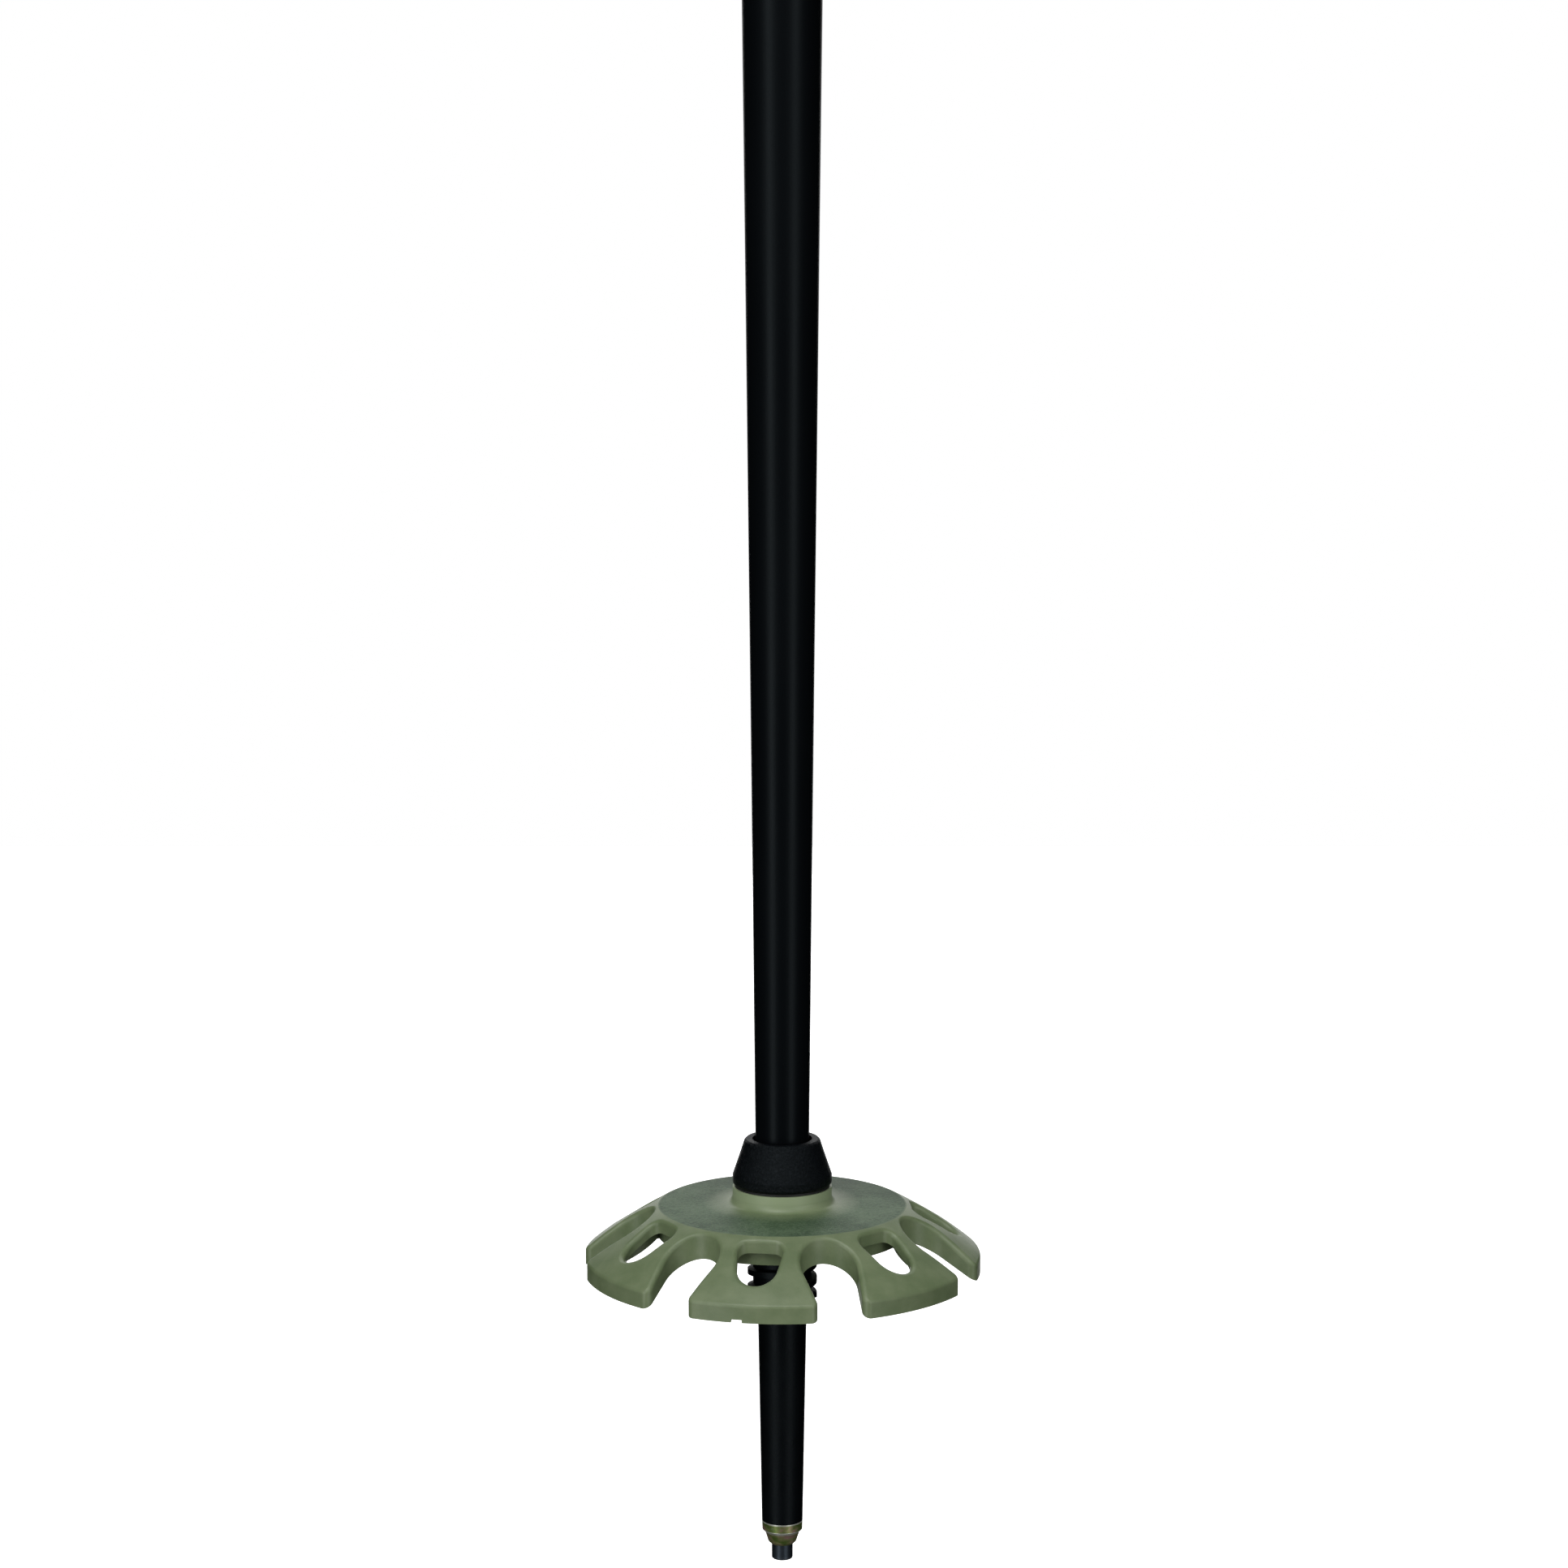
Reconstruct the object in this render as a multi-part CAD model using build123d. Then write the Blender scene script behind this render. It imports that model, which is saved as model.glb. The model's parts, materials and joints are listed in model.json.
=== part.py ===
from build123d import *
import math
import os

# One trekking pole in two telescoping sections, standing on its tip.
# Millimetres. Z is the pole's axis, from the point of the tip up to the grip; -Y is the front.

# Heights along the pole at rest
POLE_LENGTH = 1200.0
FERRULE_TOP = 100.7
LOCK_BOTTOM = 600.0
TUBE_OVERLAP = 195.0
GRIP_LENGTH = 132.0
CAP_HEIGHT = 12.0
EXTENSION_LENGTH = 150.0

# Tubes
SHAFT_TIP_R = 6.2
SHAFT_R = 9.0
SHAFT_WALL = 1.0
TAPER_LENGTH = 264.0
TUBE_WALL = 0.9
SOCKET_DEPTH = 32.0
PLUG_LENGTH = 24.0
PLUG_WALL = 2.0
PLUG_RIM = 2.0

# Tip
PIN_R = 2.45
PIN_SHOWING = 3.75
PIN_BURIED = 6.0
PIN_EDGE = 0.45
CUP_R = 4.75
CUP_HEIGHT = 5.65
CUP_LIP = 0.25
CONE_FOOT_R = 3.3
CONE_FOOT_HEIGHT = 0.6
CONE_TOP_R = 4.05
CONE_TOP_HEIGHT = 2.9
CHAMFER_HEIGHT = 0.6
CHAMFER_EDGE = 0.08
SHANK_R = 3.2
SHANK_LENGTH = 16.0
SHANK_GROOVES = 3
GROOVE_PITCH = 4.0
GROOVE_WIDTH = 1.5
GROOVE_DEPTH = 0.5
STEM_TOP_R = 5.62
STEM_HEIGHT = 58.3
NECK_STEP = 3.0
NECK_WALL = 0.55
COLLAR_SPREAD = 2.68
COLLAR_RIM = 1.87
COLLAR_HEIGHT = 10.6
COLLAR_BAND = 2.2
COLLAR_EDGE = 0.7
COLLAR_TOP_EDGE = 0.4
COLLAR_WAIST = 0.2
MOUTH_GAP = 0.7
MOUTH_DEPTH = 4.0

# Screw thread that holds the basket
THREAD_PITCH = 3.9
THREAD_HEIGHT = 1.25
THREAD_CREST = 1.3
THREAD_FOOT = 2.2
THREAD_BOTTOM = 63.5
RIDGE_CREST = 0.9
RIDGE_FOOT = 1.3
RIDGE_TURNS = 2.0
RIDGE_START = 4.5
RIB_ROOT = 0.3
THREAD_CLEARANCE = 0.3
WASHER_THICKNESS = 0.5

# Basket
PETALS = 7
PETAL_TURN = -8.8
DISC_R = 28.7
PETAL_LENGTH = 17.1
HUB_HEIGHT = 3.7
HUB_FILLET = 1.6
DISC_DROP = 0.8
PETAL_DROP = 11.3
PETAL_BULGE = 0.7
RIM_HEIGHT = 3.9
NOTCH_START = 0.8
NOTCH_R = 6.4
NOTCH_MOUTH = 4.85
WALL_DEPTH = 6.4
BASKET_WALL = 1.8
PLATE = 3.0
SKIRT_INSET = 1.7
SKIRT_DEPTH = 7.0
HUB_SLEEVE = 11.0
HOLE_START = 1.2
HOLE_WIDTH = 10.2
HOLE_END_R = 4.6
HOLE_CORNER = 2.0
HOLE_MARGIN = 5.5
GATE_WIDTH = 2.4
GATE_DEPTH = 0.7
GATE_TURN = -4.0
EDGE_FILLET = 1.0
CORNER_FILLET = 1.5
EDGE_LEVEL = 2.5

# Lever lock
COLLAR_WALL = 3.5
LOCK_LENGTH = 48.0
LIP_HEIGHT = 5.0
COLLAR_LEAD = 1.5
SPLIT_WIDTH = 2.0
SPLIT_START = 5.0
SPLIT_ABOVE = 8.0
EAR_THICKNESS = 5.5
EAR_END = 5.0
EAR_HEIGHT = 22.0
EAR_CORNER = 4.0
SCREW_R = 2.0
SCREW_OFFSET = 5.45
HEAD_R = 3.4
HEAD_HEIGHT = 2.0
KEY_R = 1.4
KEY_DEPTH = 3.2
BARREL_R = 2.5
BARREL_END = 0.8
BARREL_CHAMFER = 0.4
CAM_R = 5.0
CAM_THROW = 0.4
CAM_PLATE = 1.2
FORK_GAP = 8.0
LEVER_HEIGHT = 26.0
LEVER_THICKNESS = 3.2
LEVER_GAP = 0.6
LEVER_START = 48.0
LEVER_END = -75.0
LEVER_TIP_SWELL = 0.4
LINK_OVERLAP = 8.0
FORK_DEPTH = 1.6
WHEEL_R = 5.2
WHEEL_WIDTH = 5.0
WHEEL_CHAMFER = 0.5
WHEEL_FLUTES = 12
FLUTE_R = 0.8
FLUTE_CENTRE_R = 5.5
LOCK_WASHER = 0.5
WASHER_R = 4.6

# Grip
CORE_WALL = 2.4
CORE_START = 4.0
GRIP_PAD_X = 9.5
GRIP_PAD_Y = 5.0
SHOULDER_SHARE = 0.45
SHOULDER_WIDTH = 0.945
CROWN_WIDTH = 0.53
FOAM_WALL = 4.55
FOAM_GROOVES = 12
FOAM_GROOVE_DEPTH = 0.8
FOAM_GROOVE_FOOT = 2.0
FOAM_GROOVE_MOUTH = 5.0
END_RING_HEIGHT = 7.0
END_RING_INSET = 0.4
END_RING_BAND = 2.0
RING_LIP = 1.2
SLOT_HEIGHT = 13.0
SLOT_SIDE = 1.3
SLOT_BELOW_TOP = 23.0
WEDGE_SIDE = 0.2
WEDGE_REACH = 0.84
WEDGE_FILLET = 1.0

# Share of the grip's length, then of its width and depth there: foot, ledge, waist, palm, neck, head
GRIP_STATIONS = [
    (0.00, 0.70, 0.86),
    (0.07, 0.86, 0.94),
    (0.17, 0.70, 0.83),
    (0.40, 0.75, 0.87),
    (0.64, 0.69, 0.81),
    (0.80, 0.80, 0.88),
    (0.93, 0.97, 1.00),
    (1.00, 1.00, 1.00),
]

# Wrist strap
WEB_WIDTH = 25.0
WEB_THICKNESS = 1.8
LOOP_LENGTH = 192.0
LOOP_DEPTH = 28.0
PAD_THICKNESS = 2.4
PAD_LENGTH = 104.0
PAD_WIDTH = 32.0
PAD_CORNER = 5.0
LOOP_GAP = 6.0
LOOP_EXIT = 2.6
LOOP_RISE = 1.5
EXIT_BEND_R = 1.5
EXIT_DROP = 30.0
RETURN_DROP = 60.0
RETURN_BEND_R = 40.0
WEB_SLACK = 0.4

# Clearances
GLUE = 0.05
SLIDING = 0.1
RUNNING = 0.05
APART = 0.3

# Values worked out from those above
tube_bore_r = SHAFT_R + SLIDING
tube_r = tube_bore_r + TUBE_WALL
cup_top = PIN_SHOWING + CUP_HEIGHT
neck_r = SHAFT_TIP_R + GLUE + NECK_WALL
collar_mouth_r = SHAFT_TIP_R + MOUTH_GAP
collar_top_r = collar_mouth_r + COLLAR_RIM
collar_r = collar_top_r + COLLAR_SPREAD
basket_r = DISC_R + PETAL_LENGTH
notch_inner = DISC_R + NOTCH_START
skirt_r = DISC_R - SKIRT_INSET
hole_inner = DISC_R + HOLE_START
collar_bottom = FERRULE_TOP - COLLAR_HEIGHT
socket_bottom = FERRULE_TOP - SOCKET_DEPTH
taper_top = FERRULE_TOP + TAPER_LENGTH
tube_bottom = LOCK_BOTTOM + LIP_HEIGHT
shaft_top = tube_bottom + TUBE_OVERLAP
grip_top = POLE_LENGTH - CAP_HEIGHT
grip_bottom = grip_top - GRIP_LENGTH
extension_bottom = grip_bottom - EXTENSION_LENGTH
core_r = tube_r + GLUE + CORE_WALL
grip_half_x = core_r + GRIP_PAD_X
grip_half_y = core_r + GRIP_PAD_Y
foam_r = tube_r + GLUE + FOAM_WALL
tube_top = grip_top - CORE_WALL - 2 * GLUE
crest_r = neck_r + THREAD_HEIGHT
hub_bore_r = crest_r + THREAD_CLEARANCE
hub_top = collar_bottom - WASHER_THICKNESS - 2 * RUNNING
plate_top = hub_top - HUB_HEIGHT
break_top = plate_top - DISC_DROP
rim_top = break_top - PETAL_DROP
rim_bottom = rim_top - RIM_HEIGHT
lock_collar_r = tube_r + GLUE + COLLAR_WALL
screw_y = lock_collar_r + SCREW_OFFSET
ear_reach = screw_y + EAR_END
screw_z = LOCK_BOTTOM + LOCK_LENGTH / 2
ear_outer = SPLIT_WIDTH / 2 + EAR_THICKNESS
plate_outer = ear_outer + GLUE + CAM_PLATE
pivot_x = plate_outer + RUNNING + CAM_R
slot_bottom = grip_top - SLOT_BELOW_TOP
slot_top = slot_bottom + SLOT_HEIGHT
slot_width = WEB_WIDTH + 2 * SLOT_SIDE
web_slot = 2 * WEB_THICKNESS + WEB_SLACK
loop_near_x = grip_half_x + LOOP_GAP


def turned(*outline):
    """Solid turned about the pole's axis from (radius, height) corners."""
    return revolve(Plane.XZ * make_face(Polyline(*outline, close=True)), Axis.Z)


def turned_edges(*edges):
    """Solid turned about the pole's axis from a closed outline that has curves."""
    return revolve(Plane.XZ * make_face(list(edges)), Axis.Z)


def sleeve(inner, outer, bottom, top):
    return turned((inner, bottom), (outer, bottom), (outer, top), (inner, top))


def block(low, high):
    """Box between two opposite corners."""
    size = [b - a for a, b in zip(low, high)]
    centre = [(a + b) / 2 for a, b in zip(low, high)]
    return Pos(*centre) * Box(*size)


def rod_along_x(radius, start, end, y, z):
    return Pos((start + end) / 2, y, z) * Rot(Y=90) * Cylinder(radius, end - start)


def upright(radius, bottom, top, x, y):
    return Pos(x, y, (bottom + top) / 2) * Cylinder(radius, top - bottom)


def shaft_radius(height):
    """Outside radius of the lower shaft, which swells a little faster towards its top."""
    share = min(1.0, (height - FERRULE_TOP) / TAPER_LENGTH)
    return SHAFT_TIP_R + (SHAFT_R - SHAFT_TIP_R) * share * (0.9 + 0.1 * max(share, 0.0))


def taper_line(inset, bottom):
    """Side of the tapered stretch, moved inwards by the inset."""
    middle = (bottom + taper_top) / 2
    return ThreePointArc(
        (shaft_radius(bottom) - inset, bottom),
        (shaft_radius(middle) - inset, middle),
        (SHAFT_R - inset, taper_top),
    )


def carbide_pin():
    top = PIN_SHOWING + PIN_BURIED
    pin = sleeve(0, PIN_R, 0, top)
    return fillet(pin.edges().group_by(Axis.Z)[0], PIN_EDGE)


def tip_cup():
    """Steel holder: a cylinder with two chamfers and a cone, and a grooved shank inside the stem."""
    shank_top = cup_top + SHANK_LENGTH
    cup = turned(
        (0, PIN_SHOWING),
        (PIN_R + CUP_LIP, PIN_SHOWING),
        (CONE_FOOT_R, PIN_SHOWING + CONE_FOOT_HEIGHT),
        (CONE_TOP_R, PIN_SHOWING + CONE_TOP_HEIGHT),
        (CUP_R - CHAMFER_EDGE, PIN_SHOWING + CONE_TOP_HEIGHT + CHAMFER_HEIGHT),
        (CUP_R, cup_top),
        (SHANK_R, cup_top),
        (SHANK_R, shank_top),
        (0, shank_top),
    )
    cup -= sleeve(0, PIN_R, 0, PIN_SHOWING + PIN_BURIED)
    for groove in range(SHANK_GROOVES):
        low = cup_top + GROOVE_PITCH * (groove + 1)
        cup -= sleeve(SHANK_R - GROOVE_DEPTH, SHANK_R + 1, low, low + GROOVE_WIDTH)
    return cup


def helical_rib(radius, foot, crest, height, bottom, turns, outwards):
    """One thread rib that winds up a cylinder of the given radius."""
    path = Helix(THREAD_PITCH, THREAD_PITCH * turns, radius)
    sign = 1 if outwards else -1
    sunk = -RIB_ROOT * sign
    start = Plane(origin=path @ 0, x_dir=(1, 0, 0), z_dir=path % 0)
    outline = make_face(
        Polyline(
            (sunk, -foot / 2),
            (height * sign, -crest / 2),
            (height * sign, crest / 2),
            (sunk, foot / 2),
            close=True,
        )
    )
    return Pos(0, 0, bottom) * sweep(start * outline, path=path, is_frenet=True)


def tip_ferrule():
    """Moulded stem, threaded neck and flared collar in one piece."""
    edge_middle = COLLAR_EDGE * (1 - math.sqrt(0.5))
    band_top = collar_bottom + COLLAR_BAND
    body = turned_edges(
        Line((0, cup_top + GLUE), (CUP_R, cup_top + GLUE)),
        Line((CUP_R, cup_top + GLUE), (STEM_TOP_R, STEM_HEIGHT)),
        Line((STEM_TOP_R, STEM_HEIGHT), (neck_r, STEM_HEIGHT + NECK_STEP)),
        Line((neck_r, STEM_HEIGHT + NECK_STEP), (neck_r, collar_bottom)),
        Line((neck_r, collar_bottom), (collar_r - COLLAR_EDGE, collar_bottom)),
        ThreePointArc(
            (collar_r - COLLAR_EDGE, collar_bottom),
            (collar_r - edge_middle, collar_bottom + edge_middle),
            (collar_r, collar_bottom + COLLAR_EDGE),
        ),
        Line((collar_r, collar_bottom + COLLAR_EDGE), (collar_r, band_top)),
        ThreePointArc(
            (collar_r, band_top),
            ((collar_r + collar_top_r - COLLAR_WAIST) / 2, (band_top + FERRULE_TOP) / 2),
            (collar_top_r, FERRULE_TOP - COLLAR_TOP_EDGE),
        ),
        Line((collar_top_r, FERRULE_TOP - COLLAR_TOP_EDGE), (collar_top_r - COLLAR_TOP_EDGE, FERRULE_TOP)),
        Line((collar_top_r - COLLAR_TOP_EDGE, FERRULE_TOP), (0, FERRULE_TOP)),
        Line((0, FERRULE_TOP), (0, cup_top + GLUE)),
    )
    turns = (collar_bottom - THREAD_FOOT - THREAD_BOTTOM) / THREAD_PITCH
    body += helical_rib(neck_r, THREAD_FOOT, THREAD_CREST, THREAD_HEIGHT, THREAD_BOTTOM, turns, True)
    body -= turned(
        (0, socket_bottom),
        (shaft_radius(socket_bottom) + GLUE, socket_bottom),
        (SHAFT_TIP_R + GLUE, FERRULE_TOP),
        (0, FERRULE_TOP),
    )
    body -= turned(
        (0, FERRULE_TOP - MOUTH_DEPTH),
        (SHAFT_TIP_R, FERRULE_TOP - MOUTH_DEPTH),
        (collar_mouth_r, FERRULE_TOP),
        (0, FERRULE_TOP),
    )
    return body - sleeve(0, SHANK_R + GLUE, 0, cup_top + SHANK_LENGTH + GLUE)


def lower_shaft():
    """Tapered tube with a straight upper stretch that slides in the upper tube."""
    bottom = socket_bottom + GLUE
    outer = turned_edges(
        taper_line(0, bottom),
        Line((SHAFT_R, taper_top), (SHAFT_R, shaft_top)),
        Line((SHAFT_R, shaft_top), (0, shaft_top)),
        Line((0, shaft_top), (0, bottom)),
        Line((0, bottom), (shaft_radius(bottom), bottom)),
    )
    inner_r = SHAFT_R - SHAFT_WALL
    inner = turned_edges(
        taper_line(SHAFT_WALL, bottom),
        Line((inner_r, taper_top), (inner_r, shaft_top)),
        Line((inner_r, shaft_top), (0, shaft_top)),
        Line((0, shaft_top), (0, bottom)),
        Line((0, bottom), (shaft_radius(bottom) - SHAFT_WALL, bottom)),
    )
    return outer - inner


def shaft_end_plug():
    inner_r = SHAFT_R - SHAFT_WALL - GLUE
    rim_end = shaft_top + PLUG_RIM
    plug = sleeve(inner_r - PLUG_WALL, inner_r, shaft_top - PLUG_LENGTH, rim_end)
    return plug + sleeve(inner_r, SHAFT_R, shaft_top + GLUE, rim_end)


def basket_washer():
    top = collar_bottom - RUNNING
    return sleeve(hub_bore_r, collar_r - 0.5, top - WASHER_THICKNESS, top)


def petal_azimuth(number):
    """Direction of a petal's middle, counted from +X."""
    return -90 + PETAL_TURN + 360 / PETALS * number


def notch_plan(inset):
    """Round-ended gap between two petals, along +X, that narrows a little to its mouth."""
    centre = notch_inner + NOTCH_R
    end = Pos(centre, 0) * Circle(NOTCH_R + inset)
    outside = basket_r + NOTCH_R
    narrowing = (NOTCH_R - NOTCH_MOUTH) / (basket_r - centre)
    mouth = NOTCH_R + inset - narrowing * (outside - centre)
    return make_hull(end.edges() + [Line((outside, -mouth), (outside, mouth))])


def petals_plan(inset):
    plan = Circle(basket_r - inset)
    for number in range(PETALS):
        turn = petal_azimuth(number) + 180 / PETALS
        plan -= Rot(Z=turn) * notch_plan(inset)
    return plan


def hole_plan():
    """Snow hole of one petal, along +X: straight towards the hub, round towards the rim."""
    end = Pos(basket_r - HOLE_MARGIN - HOLE_END_R, 0) * Circle(HOLE_END_R)
    corner = Pos(hole_inner + HOLE_CORNER, HOLE_WIDTH / 2 - HOLE_CORNER) * Circle(HOLE_CORNER)
    return make_hull(end.edges() + corner.edges() + mirror(corner, Plane.XZ).edges())


def petal_height(radius):
    """Height of the straight line from the disc's edge to the petals' rim."""
    return break_top - PETAL_DROP * (radius - DISC_R) / PETAL_LENGTH


def petal_slope(drop, start_r, end_r):
    """Domed line of the petals' top face, lowered by the drop."""
    middle_r = (start_r + end_r) / 2
    middle = petal_height(middle_r) - drop + PETAL_BULGE
    return ThreePointArc(
        (start_r, petal_height(start_r) - drop),
        (middle_r, middle),
        (end_r, petal_height(end_r) - drop),
    )


def basket_blank():
    """Turned form of the basket with no notches, holes or hollows."""
    skirt_bottom = break_top - SKIRT_DEPTH
    fillet_middle = HUB_FILLET * (1 - math.sqrt(0.5))
    return turned_edges(
        Line((hub_bore_r, hub_top), (collar_r, hub_top)),
        Line((collar_r, hub_top), (collar_r, plate_top + HUB_FILLET)),
        ThreePointArc(
            (collar_r, plate_top + HUB_FILLET),
            (collar_r + fillet_middle, plate_top + fillet_middle),
            (collar_r + HUB_FILLET, plate_top),
        ),
        Line((collar_r + HUB_FILLET, plate_top), (DISC_R, break_top)),
        petal_slope(0, DISC_R, basket_r),
        Line((basket_r, rim_top), (basket_r, rim_bottom)),
        Line((basket_r, rim_bottom), (notch_inner, break_top - WALL_DEPTH)),
        Line((notch_inner, break_top - WALL_DEPTH), (skirt_r, skirt_bottom)),
        Line((skirt_r, skirt_bottom), (hub_bore_r, skirt_bottom)),
        Line((hub_bore_r, skirt_bottom), (hub_bore_r, hub_top)),
    )


def basket_hollows():
    """Space under the plate: one ring round the hub sleeve and one pocket in each petal."""
    below = rim_bottom - 10
    skirt_inner = skirt_r - BASKET_WALL
    ring = turned(
        (collar_r, below),
        (skirt_inner, below),
        (skirt_inner, break_top - PLATE),
        (collar_r, plate_top - PLATE),
    )
    inner_r = skirt_r + BASKET_WALL
    outer_r = basket_r - BASKET_WALL
    slope = petal_slope(PLATE, inner_r, outer_r)
    under = turned_edges(
        slope,
        Line(slope @ 1, (outer_r, below)),
        Line((outer_r, below), (inner_r, below)),
        Line((inner_r, below), slope @ 0),
    )
    inside = Pos(0, 0, below) * extrude(petals_plan(BASKET_WALL), break_top - below)
    return ring, under & inside


def upper_edges(solid, low_radius):
    """Edges along the top of the petals beyond a radius, but not their upright corners."""
    chosen = []
    for edge in solid.edges():
        middle = edge @ 0.5
        radius = math.hypot(middle.X, middle.Y)
        half_way = petal_height(radius) - RIM_HEIGHT / 2
        level = abs((edge @ 0).Z - (edge @ 1).Z) < EDGE_LEVEL or edge.length > RIM_HEIGHT * 2
        if radius > low_radius and middle.Z > half_way and level:
            chosen.append(edge)
    return chosen


def snow_basket():
    prism = Pos(0, 0, rim_bottom - 5) * extrude(petals_plan(0), hub_top - rim_bottom + 10)
    upright_edges = prism.edges().filter_by(Axis.Z)
    corners = [e for e in upright_edges if math.hypot((e @ 0).X, (e @ 0).Y) > basket_r - 1]
    prism = fillet(corners, CORNER_FILLET)
    holes = [Rot(Z=petal_azimuth(n)) * extrude(hole_plan(), 200) for n in range(PETALS)]
    body = (basket_blank() & prism) - holes
    body = fillet(upper_edges(body, DISC_R + 0.5), EDGE_FILLET)
    ring, pockets = basket_hollows()
    body -= ring
    body -= pockets
    sleeve_bottom = hub_top - HUB_SLEEVE
    body += sleeve(hub_bore_r, collar_r, sleeve_bottom, plate_top)
    gate = block(
        (basket_r - BASKET_WALL / 2, -GATE_WIDTH / 2, rim_bottom - 1),
        (basket_r + 1, GATE_WIDTH / 2, rim_bottom + GATE_DEPTH),
    )
    body -= Rot(Z=petal_azimuth(0) + GATE_TURN) * gate
    ridge_bottom = THREAD_BOTTOM + THREAD_PITCH * RIDGE_START
    return body + helical_rib(
        hub_bore_r, RIDGE_FOOT, RIDGE_CREST, THREAD_HEIGHT, ridge_bottom, RIDGE_TURNS, False
    )


def upper_shaft():
    tube = sleeve(tube_bore_r, tube_r, tube_bottom, tube_top)
    slot_end = LOCK_BOTTOM + LOCK_LENGTH - SPLIT_ABOVE
    half = SPLIT_WIDTH / 2
    return tube - block((-half, SPLIT_START, tube_bottom - 1), (half, tube_r + 2, slot_end))


def clamp_collar():
    """Split collar over the end of the upper tube, with two ears at the back."""
    top = LOCK_BOTTOM + LOCK_LENGTH
    half = SPLIT_WIDTH / 2
    body = turned(
        (SHAFT_R + APART, LOCK_BOTTOM),
        (lock_collar_r - COLLAR_LEAD, LOCK_BOTTOM),
        (lock_collar_r, LOCK_BOTTOM + COLLAR_LEAD),
        (lock_collar_r, top - 2 * COLLAR_LEAD),
        (tube_r + RING_LIP, top),
        (tube_r + GLUE, top),
        (tube_r + GLUE, tube_bottom - GLUE),
        (SHAFT_R + APART, tube_bottom - GLUE),
    )
    ear_low = screw_z - EAR_HEIGHT / 2
    ears = block((-ear_outer, tube_r + 1, ear_low), (ear_outer, ear_reach, ear_low + EAR_HEIGHT))
    corners = [e for e in ears.edges().filter_by(Axis.X) if (e @ 0).Y > ear_reach - 1]
    body += fillet(corners, EAR_CORNER)
    body -= block((-half, SPLIT_START, LOCK_BOTTOM - 1), (half, ear_reach + 1, top + 1))
    return body - rod_along_x(SCREW_R + RUNNING, -ear_outer - 1, ear_outer + 1, screw_y, screw_z)


def cam_plate():
    low = screw_z - LEVER_HEIGHT / 2
    inner = ear_outer + GLUE
    plate = block((inner, screw_y - EAR_END, low), (plate_outer, ear_reach, low + LEVER_HEIGHT))
    return plate - rod_along_x(SCREW_R + RUNNING, inner - 1, plate_outer + 1, screw_y, screw_z)


def barrel_pin():
    half = LEVER_HEIGHT / 2 + BARREL_END
    pin = upright(BARREL_R, screw_z - half, screw_z + half, pivot_x, screw_y)
    levels = pin.edges().group_by(Axis.Z)
    pin = chamfer(levels[0] + levels[-1], BARREL_CHAMFER)
    return pin - rod_along_x(SCREW_R + RUNNING, pivot_x - 5, pivot_x + 5, screw_y, screw_z)


def screw_end():
    return -ear_outer - GLUE - LOCK_WASHER - RUNNING - WHEEL_WIDTH


def tension_screw():
    screw = rod_along_x(SCREW_R, screw_end(), pivot_x + BARREL_R, screw_y, screw_z)
    head = rod_along_x(HEAD_R, screw_end(), screw_end() + HEAD_HEIGHT, screw_y, screw_z)
    key = extrude(RegularPolygon(KEY_R, 6), KEY_DEPTH, both=True)
    return screw + head - Pos(screw_end(), screw_y, screw_z) * Rot(Y=90) * key


def thumb_wheel():
    """Fluted wheel pressed on the screw's head."""
    outer = screw_end()
    inner = outer + WHEEL_WIDTH
    wheel = rod_along_x(WHEEL_R, outer, inner, screw_y, screw_z)
    wheel = chamfer(wheel.edges().filter_by(GeomType.CIRCLE), WHEEL_CHAMFER)
    for number in range(WHEEL_FLUTES):
        angle = 2 * math.pi * number / WHEEL_FLUTES
        y = screw_y + FLUTE_CENTRE_R * math.cos(angle)
        z = screw_z + FLUTE_CENTRE_R * math.sin(angle)
        wheel -= rod_along_x(FLUTE_R, outer - 1, inner + 1, y, z)
    wheel -= rod_along_x(SCREW_R, outer - 1, inner + 1, screw_y, screw_z)
    return wheel - rod_along_x(HEAD_R, outer - 1, outer + HEAD_HEIGHT, screw_y, screw_z)


def lock_washer():
    outer = -ear_outer - GLUE
    ring = rod_along_x(WASHER_R, outer - LOCK_WASHER, outer, screw_y, screw_z)
    return ring - rod_along_x(SCREW_R + RUNNING, outer - 2, outer + 1, screw_y, screw_z)


def on_arc(radius, angle):
    return (radius * math.cos(angle), radius * math.sin(angle))


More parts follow.
